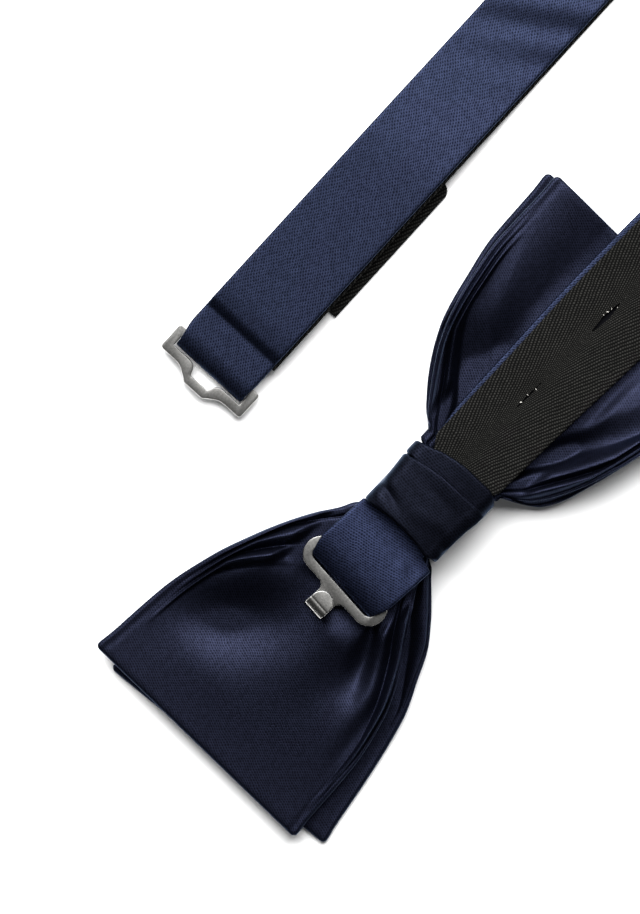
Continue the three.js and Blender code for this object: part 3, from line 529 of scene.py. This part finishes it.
# Knot wrap. A folded strip of the same satin is wound tightly round the waist and sewn down on the
# back: the first stretch shows beside the last one, which lies over it and ends at the -Y side.
knot_corner, knot_crown = 2.3, 0.7
loose_side, loose_top, flare = 0.6, 0.3, 0.065
tape_wall = 0.8
tape_waist_z = satin_waist_z + satin_wall / 2 + gap + tape_wall / 2
stack_top = tape_waist_z + satin_wall / 2


def line_to(points, end, step=0.5):
    start = np.array(points[-1], float)
    count = max(int(np.linalg.norm(np.array(end) - start) / step), 1)
    points += [tuple(blend(start, np.array(end), (k + 1) / count)) for k in range(count)]


def arc_to(points, centre, radius, start, end, step=0.25, stretch=1.0):
    """Arc between two angles. The stretch makes it an oval, longer in the first direction."""
    start, end = math.radians(start), math.radians(end)
    count = max(int(abs(end - start) * radius / step), 2)
    for k in range(1, count + 1):
        angle = blend(start, end, k / count)
        points.append((centre[0] + radius * stretch * math.cos(angle),
                       centre[1] + radius * math.sin(angle)))


def curve_to(points, *pulls, count=30):
    """Smooth curve from the path's last point that the pull points bend, to the last of them."""
    row = np.array([points[-1], *pulls], float)
    for t in np.arange(1, count + 1) / count:
        step = row
        while len(step) > 1:
            step = blend(step[:-1], step[1:], t)
        points.append(tuple(step[0]))


def along_path(points):
    """Length from the path's start at each of its points."""
    steps = np.linalg.norm(np.diff(np.array(points), axis=0), axis=1)
    return np.concatenate([[0], np.cumsum(steps)])


def resampled(rows, lengths, places):
    """Rows that stand at some lengths along a path, worked out at other places along it."""
    return np.stack([np.interp(places, lengths, column) for column in np.transpose(rows)], 1)


def knot_wrap():
    far, front, r = waist_half + gap + wrap_wall / 2, wrap_wall / 2, knot_corner
    half = far + loose_side
    under = stack_top + gap + wrap_wall / 2 + loose_top
    over = under + wrap_wall + gap
    path = [(half, front + r + 0.4)]
    line_to(path, (half, under - r))
    arc_to(path, (half - r, under - r), r, 0, 90)
    first_top = along_path(path)[-1]
    curve_to(path, (0, under + knot_crown), (-(far - r), under), count=36)
    far_top = along_path(path)[-1]
    arc_to(path, (-(far - r), under - r), r, 90, 180)
    line_to(path, (-far, front + r))
    arc_to(path, (-(far - r), front + r), r, 180, 270)
    line_to(path, (half - r, front))
    front_end = along_path(path)[-1]
    arc_to(path, (half - r, front + r), r, 270, 360)
    line_to(path, (half, over - r))
    arc_to(path, (half - r, over - r), r, 0, 90)
    last_top = along_path(path)[-1]
    curve_to(path, (0, over + knot_crown), (-(far - r), over), count=36)
    arc_to(path, (-(far - r), under - r), r + wrap_wall + gap, 90, 136)
    lengths = along_path(path)
    total = lengths[-1]
    # Length along the strip, and X of its left and right edge there.
    edges = np.array([
        (0, 3.35, 6.4), (4, 3.35, 6.4), (first_top - 2, 3.3, 6.6), (first_top, 3.1, 7.2),
        (first_top + 2.5, 2.3, 8.2), (first_top + 8, -8, 9.1), (far_top, -8.2, 9.1),
        (far_top + 2, -8.2, 8.4), (far_top + 4, -8.2, 7.6), (front_end, -8.2, 7.6),
        (front_end + 3, -8.3, 3.05), (last_top - 2, -8.7, 3.15), (last_top, -8.4, 3.7),
        (last_top + 2, -8.1, 4.2), (last_top + 6, -7.9, 4.8), (total - 5.5, -8.2, 4.9),
        (total - 2.5, -8.7, 5), (total, -7.6, 4.6)])
    places = rimmed(0, total, 300, wrap_wall / 2)
    plan = resampled(path, lengths, places)
    left = curve_through(edges[:, 0], edges[:, 1], places)
    right = curve_through(edges[:, 0], edges[:, 2], places)
    xs = rimmed(left, right, 44, wrap_wall / 2)
    grid = np.zeros((*xs.shape, 3))
    grid[..., 0] = xs
    widened = 1 + flare * smooth(xs, -3, 5)
    grid[..., 1], grid[..., 2] = plan[:, 0][:, None] * widened, plan[:, 1][:, None]
    way = np.gradient(plan, axis=0)
    way /= np.linalg.norm(way, axis=1, keepdims=True)
    out = np.stack([way[:, 1], -way[:, 0]], axis=1)
    # Pulls and puckers: length from the last corner, X, half length, half width, angle, depth.
    puckers = [
        (-0.8, -4.6, 3.6, 1, -14, -0.5), (0.6, -6.9, 3.6, 1.2, -22, 0.34),
        (9.5, -3, 5, 1.6, 10, 0.16), (8, 1.4, 5.5, 1.3, -4, -0.14),
        (15.5, -5.6, 2.6, 0.8, -35, -0.35), (15, 2.5, 2.5, 1.2, 20, 0.12)]
    bulge = np.zeros(xs.shape)
    for at_place, x, length, width, angle, depth in puckers:
        ds, dx = places[:, None] - last_top - at_place, xs - x
        turn = math.radians(angle)
        u = (ds * math.cos(turn) + dx * math.sin(turn)) / length
        v = (dx * math.cos(turn) - ds * math.sin(turn)) / width
        bulge += depth * np.exp(-u * u - v * v)
    grid[..., 1] += bulge * out[:, 0][:, None]
    grid[..., 2] += bulge * out[:, 1][:, None]
    return cloth("knot_wrap_cloth", grid, wrap_wall, places[:, None], xs, shaded_knot_satin), total


# The knot is wound from the wings' satin, but its base colour is about half as bright: painted
# shade for the darker look of its flat crown under the key light.
shaded_knot_satin = satin("shaded_knot_satin", 62, 0.00052, 0.00056, (0.0068, 0.0079, 0.0141))
wrap, wrap_length = knot_wrap()
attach(wrap, "root")
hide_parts("knot_wrap")


# Hook tab. A doubled satin tab comes out of the knot and is folded round the inner bar of the hook
# plate, with its corners drawn in beside the bar.
plate_wall, bar_width = 0.9, 1.95
hook_plate_length, loop_depth = 20.8, 7.0
tab_width, fold_stretch, gather_height, sag_depth = 19.2, 3.2, 0.16, 0.12
fold_slack, bar_lift = 0.12, 0.14
inside_knot = 2 * (waist_half - 1.1)
fold_spread = plate_wall / 2 + gap + satin_wall / 2 + fold_slack
hook_bar_z = satin_waist_z + satin_wall / 2 + gap + plate_wall / 2 + bar_lift
hook_direction = np.array([-math.cos(tab_tilt), math.sin(tab_tilt), 0])
tab_origin = np.array([-knot_left, 0, 0]) - hook_direction * knot_left


def hook_tab():
    low_z, high_z = hook_bar_z - fold_spread, hook_bar_z + fold_spread
    bend = tab_length + 0.25 - satin_wall / 2 - fold_spread * fold_stretch
    closed = satin_waist_z + satin_wall + gap
    path = [(1.0, satin_waist_z)]
    line_to(path, (knot_left + 1.3, satin_waist_z))
    curve_to(path, (knot_left + 4, satin_waist_z), (bend - 6, low_z), (bend, low_z))
    arc_to(path, (bend, hook_bar_z), fold_spread, -90, 90, 0.15, fold_stretch)
    curve_to(path, (bend - 6, high_z), (knot_left + 4, closed), (knot_left + 1.3, closed))
    line_to(path, (1.0, closed))
    lengths = along_path(path)
    places = rimmed(0, lengths[-1], 170, satin_wall / 2)
    plan = resampled(path, lengths, places)
    run = plan[:, 0]
    opened = blend(inside_knot, tab_width, smooth(run, knot_left + gap, knot_left + 1.3))
    fold = hook_plate_length - 2 * bar_width - 0.2
    drawn = np.sqrt(np.clip((run - bend - 0.4) / (fold_spread * fold_stretch - 0.4), 0, 1)) ** 3
    half = blend(opened, fold, drawn) / 2
    across = rimmed(-half, half, 50, satin_wall / 2)
    # Gathers fan out of the knot on the tab's -Y side, and the face sags a little between.
    fan = np.cos((across + 9) * 1.9 / (1 + (run[:, None] - knot_left) * 0.09)) * gather_height
    fade = (1 - smooth(run, knot_left + 1, knot_left + 8))[:, None]
    upper = smooth(plan[:, 1], hook_bar_z, hook_bar_z + 0.5)[:, None]
    on_low_side = smooth(across, 0, 6)
    part = np.clip((run - knot_left) / (bend - knot_left), 0, 1)
    sag = -sag_depth * np.sin(np.pi * part)[:, None]
    lift = upper * (fan * fade * on_low_side * (run[:, None] > knot_left) + sag)
    side = np.cross((0, 0, 1), hook_direction)
    grid = (tab_origin + run[:, None, None] * hook_direction + across[..., None] * side
            + (plan[:, 1][:, None] + lift)[..., None] * (0, 0, 1))
    tab = cloth("hook_tab_cloth", grid, satin_wall, places[:, None], across, sheen_tab_satin)
    return tab, places[-1]


# The tab is the wings' satin too, with a brighter, bluer base colour: painted sheen for the
# highlight its flat face catches from the key light.
sheen_tab_satin = satin("sheen_tab_satin", -46, 0.00055, 0.0005, (0.0162, 0.021, 0.0459))
tab, tab_cloth_length = hook_tab()
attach(tab, "root")
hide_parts("hook_tab")


# Hook plate. A loop stamped out of nickel-plated steel, with a neck whose tongue is bent back over
# itself into the hook. The faces are matt and finely speckled, the rolled edges polished.
hook_neck, hook_reach, hook_bend, hook_tongue = 4.6, 3.3, 1.5, 3.0
plate_edge, crease_height, crease_half, tongue_turn = 0.24, 0.07, 0.22, 0.1


def nickel():
    finish = Finish("nickel_plate", Metallic=1.0)
    place = finish.node("ShaderNodeTexCoord", out=3)
    speckle = finish.node("ShaderNodeTexNoise", (), {"Vector": place, "Scale": 2600, "Detail": 3})
    patch = finish.node("ShaderNodeTexNoise", (), {"Vector": place, "Scale": 300, "Detail": 2})
    facing = finish.node("ShaderNodeNewGeometry", out=1)
    upright = finish.node("ShaderNodeSeparateXYZ", (), {0: facing}, out=2).math("ABSOLUTE")
    face = finish.node("ShaderNodeMapRange", {"interpolation_type": "SMOOTHSTEP"},
                       {"Value": upright, "From Min": 0.6, "From Max": 0.95})
    worn = speckle * 0.6 + patch * 0.4
    finish.surface(
        Base_Color=finish.between(
            face * (0.74 + worn * 0.28), (0.7, 0.69, 0.67), (0.02, 0.02, 0.019)),
        Roughness=0.16 + face * 0.2 + worn * face * 0.12,
        Normal=finish.relief(speckle, 0.02, 0.25))
    return finish.material


nickel_plate = nickel()


def as_mesh(piece):
    """A plain mesh of a curve, or of a piece with its modifiers worked in."""
    view = bpy.context.evaluated_depsgraph_get()
    return bpy.data.meshes.new_from_object(piece.evaluated_get(view))


def stamped(name, outline, window, bend_from, bent, turn, at):
    """A plate cut from sheet: its outlines in mm, filled, with rounded edges, then bent."""
    shape = bpy.data.curves.new(name, "CURVE")
    shape.dimensions, shape.fill_mode = "2D", "BOTH"
    shape.extrude = (plate_wall / 2 - plate_edge) * mm
    shape.bevel_depth, shape.bevel_resolution, shape.offset = plate_edge * mm, 3, -plate_edge * mm
    for loop in (outline, window):
        spline = shape.splines.new("POLY")
        spline.points.add(len(loop) - 1)
        spline.use_cyclic_u = True
        for point, (x, y) in zip(spline.points, loop):
            point.co = (x * mm, y * mm, 0, 1)
    blank = placed(name + "_blank", shape)
    mesh = as_mesh(blank)
    bpy.data.objects.remove(blank)
    work = bmesh.new()
    work.from_mesh(mesh)
    bmesh.ops.remove_doubles(work, verts=work.verts, dist=1e-6)
    for x in bend_from:
        bmesh.ops.bisect_plane(work, geom=work.verts[:] + work.edges[:] + work.faces[:],
                               plane_co=(x * mm, 0, 0), plane_no=(1, 0, 0))
    for vertex in work.verts:
        x, y, z = bent(*(vertex.co / mm))
        vertex.co = Vector((x * math.cos(turn) - y * math.sin(turn) + at[0],
                            x * math.sin(turn) + y * math.cos(turn) + at[1], z + at[2])) * mm
    bmesh.ops.recalc_face_normals(work, faces=work.faces)
    work.to_mesh(mesh)
    work.free()
    mesh.name = name
    mesh.materials.clear()
    mesh.materials.append(nickel_plate)
    mesh.shade_smooth()
    mesh.set_sharp_from_angle(angle=math.radians(40))
    piece = placed(name, mesh)
    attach(piece, "root")
    return piece


def traced(*arcs):
    """Outline that runs straight from arc to arc, each given by middle, radius and two angles."""
    points = []
    for x, y, radius, start, end in arcs:
        turn = math.radians(start)
        points.append((x + radius * math.cos(turn), y + radius * math.sin(turn)))
        arc_to(points, (x, y), radius, start, end, 0.12)
    return points


def hook_plate():
    outer = tab_length + 2.5
    inner = outer - loop_depth
    half, r, neck, fillet = hook_plate_length / 2, loop_depth / 2 - 0.1, hook_neck / 2, 1.4
    bend_x = outer + hook_reach
    tip = bend_x + math.pi * hook_bend + hook_tongue
    crease = tip - hook_tongue + 0.1
    outline = traced(
        (outer - r, -half + r, r, -90, 0), (outer + fillet, -neck - fillet, fillet, 180, 90),
        (tip - neck, 0, neck, -90, 90), (outer + fillet, neck + fillet, fillet, 270, 180),
        (outer - r, half - r, r, 0, 90), (inner + r, half - r, r, 90, 180),
        (inner + r, -half + r, r, 180, 270))
    soft = 1.4
    x0, x1, y0 = inner + bar_width + soft, outer - bar_width - soft, half - bar_width - soft
    window = traced((x1, -y0, soft, -90, 0), (x1, y0, soft, 0, 90), (x0, y0, soft, 90, 180),
                    (x0, -y0, soft, 180, 270))

    def curled(x, y, z):
        z = z + crease_height * math.exp(-((x - crease) / crease_half) ** 2)
        over = min(max(x - bend_x, 0), math.pi * hook_bend)
        angle = over / hook_bend + tongue_turn * smooth(x, tip - hook_tongue, tip)
        beyond = x - bend_x - over
        return (bend_x + hook_bend * math.sin(over / hook_bend) - z * math.sin(angle)
                + beyond * math.cos(angle), y,
                hook_bend - hook_bend * math.cos(over / hook_bend) + z * math.cos(angle)
                + beyond * math.sin(angle))

    cuts = [*np.linspace(bend_x, tip - 0.3, 34), *(crease + np.linspace(-0.4, 0.4, 9))]
    at = (tab_origin[0], tab_origin[1], hook_bar_z)
    return stamped("hook_plate_steel", outline, window, cuts, curled, math.pi - tab_tilt, at)


hook = hook_plate()
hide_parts("hook_plate")


# Neckband. A satin strip and the black tape that backs it run out of the knot over the wing, turn
# on edge round the neck loop, and come back flat with the satin up. At the end the satin is folded
# round the eye plate's inner bar and hemmed.
band_length, edge_shift = 375, 1.0
heading, back_heading = math.radians(-0.8), math.pi + math.radians(1.6)
return_offset, untwist_end, into_loop = 48.2, 93, 14
eye_lift = 1.4
eye_fold, eye_stretch, hem_length = 12.3, 2.7, 16
backing_start, backing_length, backing_width, backing_shift = 12.3, 33.4, 17.6, 2.1
eye_plate_length, eye_depth, eye_arm = 20.7, 5.9, 1.8
band_wall = satin_wall + gap + tape_wall
satin_out, tape_out = (satin_wall - band_wall) / 2, (band_wall - tape_wall) / 2
hem_lift = 2 * fold_spread + satin_wall / 2 + satin_out - band_wall / 2
widening = (math.tan(back_heading) - math.tan(heading)) / 2
turn_start = ((band_length + knot_right - eye_fold - math.pi * return_offset / 2)
              / (2 + math.pi * widening))
cos_out, cos_back = math.cos(heading), abs(math.cos(back_heading))
out_y = math.tan(heading) * turn_start
back_y = return_offset + math.tan(back_heading) * turn_start
loop_y = (out_y * cos_out + back_y * cos_back) / (cos_out + cos_back)
loop_radius = (loop_y - out_y) * cos_out
out_run = (turn_start + loop_radius * math.sin(heading)) / cos_out
arc_run = loop_radius * (back_heading - heading)
back_run = (turn_start + loop_radius * math.sin(back_heading) + eye_fold) / cos_back
total_run = out_run + arc_run + back_run
fold_run = total_run - fold_spread - satin_wall / 2
# Share of the run, width as a share of the band's, and sideways shift of the satin and the tape.
band_widths = np.array([
    (0, 0.87, 0.6, 0), (0.04, 0.91, 0.9, 0), (0.12, 1, 1, 0),
    (0.5, 0.98, 0.6, -0.2), (0.75, 0.93, 0.3, -0.3), (1, 0.93, 0.3, -0.3)])


def band_plan(run):
    """Point in plan and heading at a run along the band, whose start is at X = 0."""
    def on_loop(angle):
        return np.array([turn_start + loop_radius * math.sin(angle),
                         loop_y - loop_radius * math.cos(angle)])
    if run < out_run:
        way = np.array([math.cos(heading), math.sin(heading)])
        return on_loop(heading) - way * (out_run - run), heading
    if run < out_run + arc_run:
        angle = heading + (run - out_run) / loop_radius
        return on_loop(angle), angle
    way = np.array([math.cos(back_heading), math.sin(back_heading)])
    return on_loop(back_heading) + way * (run - out_run - arc_run), back_heading


def band_frame(run):
    """Middle, unit vectors across and out of the tape side, width and shifts at a run."""
    at, angle = band_plan(run)
    left, up = np.array([-math.sin(angle), math.cos(angle), 0]), np.array([0, 0, 1.0])
    on_edge = smooth(run, twist_start, out_run + into_loop)
    flat_again = smooth(run, out_run + arc_run - into_loop, total_run - untwist_end - eye_fold)
    roll = math.pi / 2 * (on_edge + flat_again)
    share = min(max((run - knot_right) / (total_run - knot_right), 0), 1)
    width, satin_shift, tape_shift = (
        curve_through(band_widths[:, 0], band_widths[:, k], share) for k in (1, 2, 3))
    width, satin_shift = width * band_width, satin_shift * edge_shift
    floor_z = ((width / 2 + satin_shift) * math.sin(roll)
               + band_wall / 2 * abs(math.cos(roll)))
    knot_z = (satin_waist_z - satin_wall / 2 + tape_waist_z + tape_wall / 2) / 2
    drop = wing_rest * smooth(run, knot_right, twist_start)
    on_wing = (knot_z - drop) * (1 - smooth(run, twist_start, out_run))
    from_eye, backing_end = total_run - run, backing_start + backing_length + eye_fold
    lift = (hem_lift + eye_lift * smooth(from_eye, 0, 16)) * (
        1 - smooth(from_eye, backing_end - 6, backing_end + 34))
    height = (on_wing**4 + floor_z**4) ** 0.25 + lift
    return {"at": np.array([*at, height]),
            "side": left * math.cos(roll) - up * math.sin(roll),
            "face": up * math.cos(roll) + left * math.sin(roll),
            "width": width, "satin": satin_shift, "tape": tape_shift * edge_shift}


def band_rows(runs, layer, out):
    """Middle points, side and face vectors and the two edges of one layer of the band."""
    frames = [band_frame(run) for run in runs]
    at, side, face = (np.array([f[key] for f in frames]) for key in ("at", "side", "face"))
    width = np.array([blend(min(f["width"], inside_knot), f["width"],
                            smooth(run, knot_right - 2.2, knot_right + 0.8))
                      for f, run in zip(frames, runs)])
    middle = np.array([f[layer] * smooth(run, knot_right, knot_right + 8)
                       for f, run in zip(frames, runs)])
    return at + face * out, side, face, middle - width / 2, middle + width / 2


def evenly(at, side, face, low, high, count, radius):
    """The same rows in even steps along the strip, closer together at both of its ends."""
    lengths = along_path(at)
    where = rimmed(0, lengths[-1], count, radius)
    at, side, face = (resampled(rows, lengths, where) for rows in (at, side, face))
    return where, at, side, face, np.interp(where, lengths, low), np.interp(where, lengths, high)


def neckband_satin():
    turned = fold_run - fold_spread * (eye_stretch - 1)
    runs = np.concatenate([[1.0], np.arange(2.0, turned - 7, 1.1)])
    at, side, face, low, high = band_rows(runs, "satin", satin_out)
    end_at, end_side, _, end_low, end_high = band_rows([turned], "satin", satin_out)
    path = [(-6.0, 0.0)]
    line_to(path, (0.0, 0.0), 0.4)
    arc_to(path, (0, -fold_spread), fold_spread, 90, -90, 0.15, eye_stretch)
    line_to(path, (-hem_length, -2 * fold_spread), 0.8)
    path = np.array(path)
    direction = np.array([math.cos(back_heading), math.sin(back_heading), 0])
    way = np.gradient(path, axis=0)
    way /= np.linalg.norm(way, axis=1, keepdims=True)
    pinched = eye_plate_length - 2 * eye_arm - 0.3
    draw_in = smooth(path[:, 0], -2.0, eye_stretch * fold_spread - 0.3)
    half = blend(end_high - end_low, pinched, draw_in) / 2
    centre = (end_high + end_low) / 2 * (1 - draw_in)
    at = np.concatenate([at, end_at + path[:, :1] * direction + path[:, 1:] * (0, 0, 1)])
    side = np.concatenate([side, np.repeat(end_side, len(path), 0)])
    fold_face = -(way[:, :1] * (0, 0, 1) - way[:, 1:] * direction)
    face = np.concatenate([face, fold_face])
    low, high = np.concatenate([low, centre - half]), np.concatenate([high, centre + half])
    where, at, side, face, low, high = evenly(
        at, side, face, low, high, len(at) * 2, satin_wall / 2)
    across = rimmed(low, high, 40, satin_wall / 2)
    runs = where + 1.0
    # Faint cross waves where the band straightens out again.
    wave_length, wave_slant, wave_height, wave_place, wave_spread = 9.5, 0.7, 0.16, 95, 14
    from_eye = total_run - runs[:, None]
    wave = np.sin((from_eye + across * wave_slant) * 2 * np.pi / wave_length) * wave_height
    waved = wave * np.exp(-((from_eye - wave_place) / wave_spread) ** 2)
    grid = (at[:, None] + across[..., None] * side[:, None]
            + waved[..., None] * face[:, None])
    strip = cloth("neckband_satin_cloth", grid, satin_wall, runs[:, None], across, sheen_band_satin)
    # The satin's reverse faces the tape and shows in the open slits. It is given a dull, near-black
    # colour: the dullness is real, the blackness is painted shade for the dark inside of the slits.
    reverse = np.zeros((2, len(where) - 1, across.shape[1] - 1), int)
    reverse[0, :, 8:-8] = 1
    strip.data.materials.append(Finish("satin_reverse_slit_shade", Roughness=0.9, Specular_IOR_Level=0.05,
                                       Base_Color=(0.002, 0.002, 0.003, 1)).material)
    strip.data.polygons.foreach_set("material_index", reverse.ravel())
    return strip, where[-1]


# The band is the wings' satin too, with a brighter, bluer base colour: painted sheen for the
# highlight its flat floats catch from the key light.
sheen_band_satin = satin("sheen_band_satin", 34, 0.0005, 0.0006, (0.019, 0.0245, 0.05))
strap, strap_length = neckband_satin()
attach(strap, "root")
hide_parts("neckband_satin")
strap_length * mm


# Tape and its slits. The tape is woven of coarse black cotton in a herringbone, with a row of
# slits on its middle line that the hook goes through. Pale ends of thread edge each slit.
slit_pitch, slit_length, slit_opening, slit_shift = 21.2, 7.6, 1.3, 0.9
first_slit, slit_count, dimple_depth = 27.3, 5, 0.26


def tape_finish():
    finish = Finish("herringbone_tape", Specular_IOR_Level=0.05)
    knots, strands, _, chance = finish.thread_grid(0, 0.0005, 0.00062)
    thread = (strands ** 1.3) * (0.15 + knots * 0.85) * (0.55 + chance * 0.45)
    slow = finish.blotches(60)
    finish.surface(
        Base_Color=finish.between(
            thread * (0.7 + slow * 0.6), (0.0008, 0.0008, 0.0008), (0.0305, 0.03, 0.0277)),
        Roughness=0.9 - thread * 0.25,
        Normal=finish.relief(thread, 0.16, 0.8))
    return finish.material


herringbone = tape_finish()


def tape_weave(runs, across):
    """Strands leave the middle line almost along it and fan out to both edges."""
    from_line, slant = np.abs(across - slit_shift), math.radians(24)
    bundled = 2.4 * (1 - np.exp(-from_line / 1.5))
    return np.stack([runs * math.cos(slant) + from_line * math.sin(slant),
                     runs * math.sin(slant) - from_line * math.cos(slant) - bundled], axis=-1)


def neckband_tape():
    runs = np.arange(1.0, total_run - eye_fold + 4, 0.9)
    where, at, side, face, low, high = evenly(
        *band_rows(runs, "tape", tape_out), len(runs), tape_wall / 2)
    across = np.array([
        spaced(a, b, tape_wall / 2, [slit_shift], [30, 31]) for a, b in zip(low, high)])
    # Each slit pulls its edges down a little.
    nearest = (where[:, None] + 1 - first_slit + slit_pitch / 2) % slit_pitch - slit_pitch / 2
    in_row = smooth(-where, -first_slit - (slit_count - 0.5) * slit_pitch, -100)[:, None]
    dimple = (-dimple_depth * in_row
              * np.exp(-(nearest / 4) ** 2 - ((across - slit_shift) / 2.5) ** 2))
    grid = at[:, None] + across[..., None] * side[:, None] + dimple[..., None] * face[:, None]
    return cloth("neckband_tape_cloth", grid, tape_wall, where[:, None] + 1.0, across,
                 herringbone, tape_weave), where[-1]


tape, tape_length = neckband_tape()


def slit_sides(k, shares):
    """Middle line of a slit, half its opening and the way out of the tape, at shares of it. The
    first slit, beside the knot, is pulled nearly shut."""
    at, side, face, low, high = band_rows(
        first_slit + k * slit_pitch + shares * slit_length / 2, "tape", tape_out)
    half = slit_opening / 2 * (1 - 0.85 * np.abs(shares)) * (0.35 if k == 0 else 1)
    return at + side * ((low + high) / 2 + slit_shift)[:, None], side * half[:, None], face


cutters = bpy.data.meshes.new("slit_cutters")
corners, walls = [], []
for k in range(slit_count):
    shares = np.array([-1, -0.6, -0.2, 0.2, 0.6, 1])
    middle, opening, face = slit_sides(k, shares)
    first = len(corners)
    for edge, level in ((-1, -1), (1, -1), (1, 1), (-1, 1)):
        corners += ((middle + edge * opening + face * level * tape_wall) * mm).tolist()
    count = len(shares)
    ring = [[first + s * count + i for s in range(4)] for i in range(count)]
    for a, b in zip(ring, ring[1:]):
        walls += [(a[s], a[(s + 1) % 4], b[(s + 1) % 4], b[s]) for s in range(4)]
    walls += [tuple(ring[0][::-1]), tuple(ring[-1])]
cutters.from_pydata(corners, [], walls)
work = bmesh.new()
work.from_mesh(cutters)
bmesh.ops.recalc_face_normals(work, faces=work.faces)
work.to_mesh(cutters)
work.free()
cutter = placed("slit_cutters", cutters)
cut = tape.modifiers.new("slits", "BOOLEAN")
cut.operation, cut.solver, cut.object = "DIFFERENCE", "EXACT", cutter
slit_tape = as_mesh(tape)
tape.modifiers.remove(cut)
tape.data = slit_tape
bpy.data.objects.remove(cutter)
slit_tape.set_sharp_from_angle(angle=math.radians(50))
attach(tape, "root")
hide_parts("neckband_tape")
tape_length * mm


# Thread ends. Cut ends of pale thread stick out along both edges of every slit, a few tenths of a
# millimetre long.
def thread_ends(edges):
    ends = bpy.data.meshes.new("slit_thread_ends")
    ends.from_pydata([tuple(p) for edge in edges for p in edge], [], [])
    tree = bpy.data.node_groups.new("thread_ends", "GeometryNodeTree")
    sockets = {}
    for label, kind in (("Geometry", "Geometry"), ("Share", "Float"), ("Length", "Float"),
                        ("Thickness", "Float"), ("Seed", "Int"), ("Thread", "Material")):
        made = tree.interface.new_socket(label, in_out="INPUT", socket_type="NodeSocket" + kind)
        sockets[label] = made.identifier
    tree.interface.new_socket("Geometry", in_out="OUTPUT", socket_type="NodeSocketGeometry")
    given = add_node(tree, "NodeGroupInput")

    def chance(data_type, values, out):
        values = {**values, 8: given["Seed"]}
        return add_node(tree, "FunctionNodeRandomValue", {"data_type": data_type}, values)[out]

    thread = add_node(tree, "GeometryNodeMeshCylinder", (), {
        "Vertices": 6, "Radius": given["Thickness"], "Depth": given["Length"]})[0]
    set_out = add_node(tree, "GeometryNodeInstanceOnPoints", (), {
        "Points": given["Geometry"], "Selection": chance("BOOLEAN", {6: given["Share"]}, 3),
        "Instance": thread,
        "Rotation": chance("FLOAT_VECTOR", {0: (1.1, 0, 0), 1: (1.7, 0, 6.3)}, 0),
        "Scale": chance("FLOAT", {2: 0.5, 3: 1.3}, 1)})[0]
    real = add_node(tree, "GeometryNodeRealizeInstances", (), {"Geometry": set_out})[0]
    coloured = add_node(tree, "GeometryNodeSetMaterial", (), {
        "Geometry": real, "Material": given["Thread"]})[0]
    add_node(tree, "NodeGroupOutput", (), {"Geometry": coloured})
    piece = placed("slit_thread_ends", ends)
    maker = piece.modifiers.new("ends", "NODES")
    maker.node_group = tree
    pale = Finish("pale_thread", Base_Color=(0.62, 0.6, 0.55, 1), Roughness=0.8)
    for label, value in (("Share", 0.24), ("Length", 0.4 * mm), ("Thickness", 0.07 * mm),
                         ("Seed", 7), ("Thread", pale.material)):
        maker[sockets[label]] = value
    finished = as_mesh(piece)
    piece.modifiers.remove(maker)
    piece.data = finished
    return piece


slit_edges = []
for k in range(slit_count):
    middle, opening, face = slit_sides(k, np.linspace(-1, 1, 9))
    for edge in (-1, 1):
        slit_edges.append((middle + edge * opening + face * (tape_wall / 2 - 0.2)) * mm)
ends = thread_ends(slit_edges)
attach(ends, "root")


# Backing tab. A short piece of the same tape lies under the band's end, with one pair of corners
# cut round, and shows as a dark strip beside it.
def backing_tab():
    start, angle = band_plan(total_run - eye_fold - backing_start)
    turn = back_heading - math.pi
    r = 2.2
    xs = rimmed(0, backing_length, 90, tape_wall / 2)
    into = np.clip(xs - (backing_length - r), 0, r)
    half = backing_width / 2 - (r - np.sqrt(np.maximum(r * r - into * into, 0.01)))
    across = rimmed(-half, half, 50, tape_wall / 2)
    along = np.broadcast_to(xs[:, None], across.shape)
    grid = np.stack([
        start[0] + along * math.cos(turn) - across * math.sin(turn),
        start[1] - backing_shift + along * math.sin(turn) + across * math.cos(turn),
        np.full(across.shape, tape_wall / 2)], axis=-1)
    return cloth("backing_tab_cloth", grid, tape_wall, along, across, herringbone, tape_weave)


backing = backing_tab()
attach(backing, "root")
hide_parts("backing_tab")


# Eye plate. A second loop stamped out of the same steel. Its outer bar bulges away from the cloth,
# which makes room for the hook. Both tables give how far one of the bar's edges stands out, by the
# distance from the plate's middle.
outer_bulge = np.array([
    (0, 2.05), (2.2, 2.05), (2.45, 1.93), (3, 1.5), (3.6, 1.1), (4.1, 0.77), (4.8, 0.35),
    (5.5, 0.12), (6.6, 0)])
inner_bulge = np.array([
    (0, 2.15), (1.95, 2.15), (2.15, 2.05), (2.35, 1.7), (2.6, 1.1), (2.85, 0.65), (3.2, 0.35),
    (3.7, 0.12), (4.4, 0)])


def bulge_to(points, x, table):
    """An edge that runs along the bar, at X, over the whole of a bulge."""
    for y in np.linspace(-table[-1, 0], table[-1, 0], 81):
        points.append((x + curve_through(table[:, 0], table[:, 1], abs(y)), y))


def eye_plate():
    outer = fold_spread + bar_width + satin_wall / 2 + gap + 0.1
    inner = outer - eye_depth
    half, corner = eye_plate_length / 2, 0.7
    outline = traced((outer - corner, -half + corner, corner, -90, 0))
    bulge_to(outline, outer, outer_bulge)
    outline += traced(
        (outer - corner, half - corner, corner, 0, 90),
        (inner + corner, half - corner, corner, 90, 180),
        (inner + corner, -half + corner, corner, 180, 270))
    x0, x1, y1 = inner + bar_width, outer - bar_width, half - eye_arm
    window = [(x0, -y1), (x1, -y1)]
    bulge_to(window, x1, inner_bulge)
    window += [(x1, y1), (x0, y1)]
    at = band_rows([fold_run], "satin", satin_out)[0][0]
    place = (at[0], at[1], at[2] - fold_spread)
    return stamped("eye_plate_steel", outline, window, [], lambda *point: point, back_heading,
                   place)


eye = eye_plate()
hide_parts("eye_plate")

bpy.context.view_layer.update()
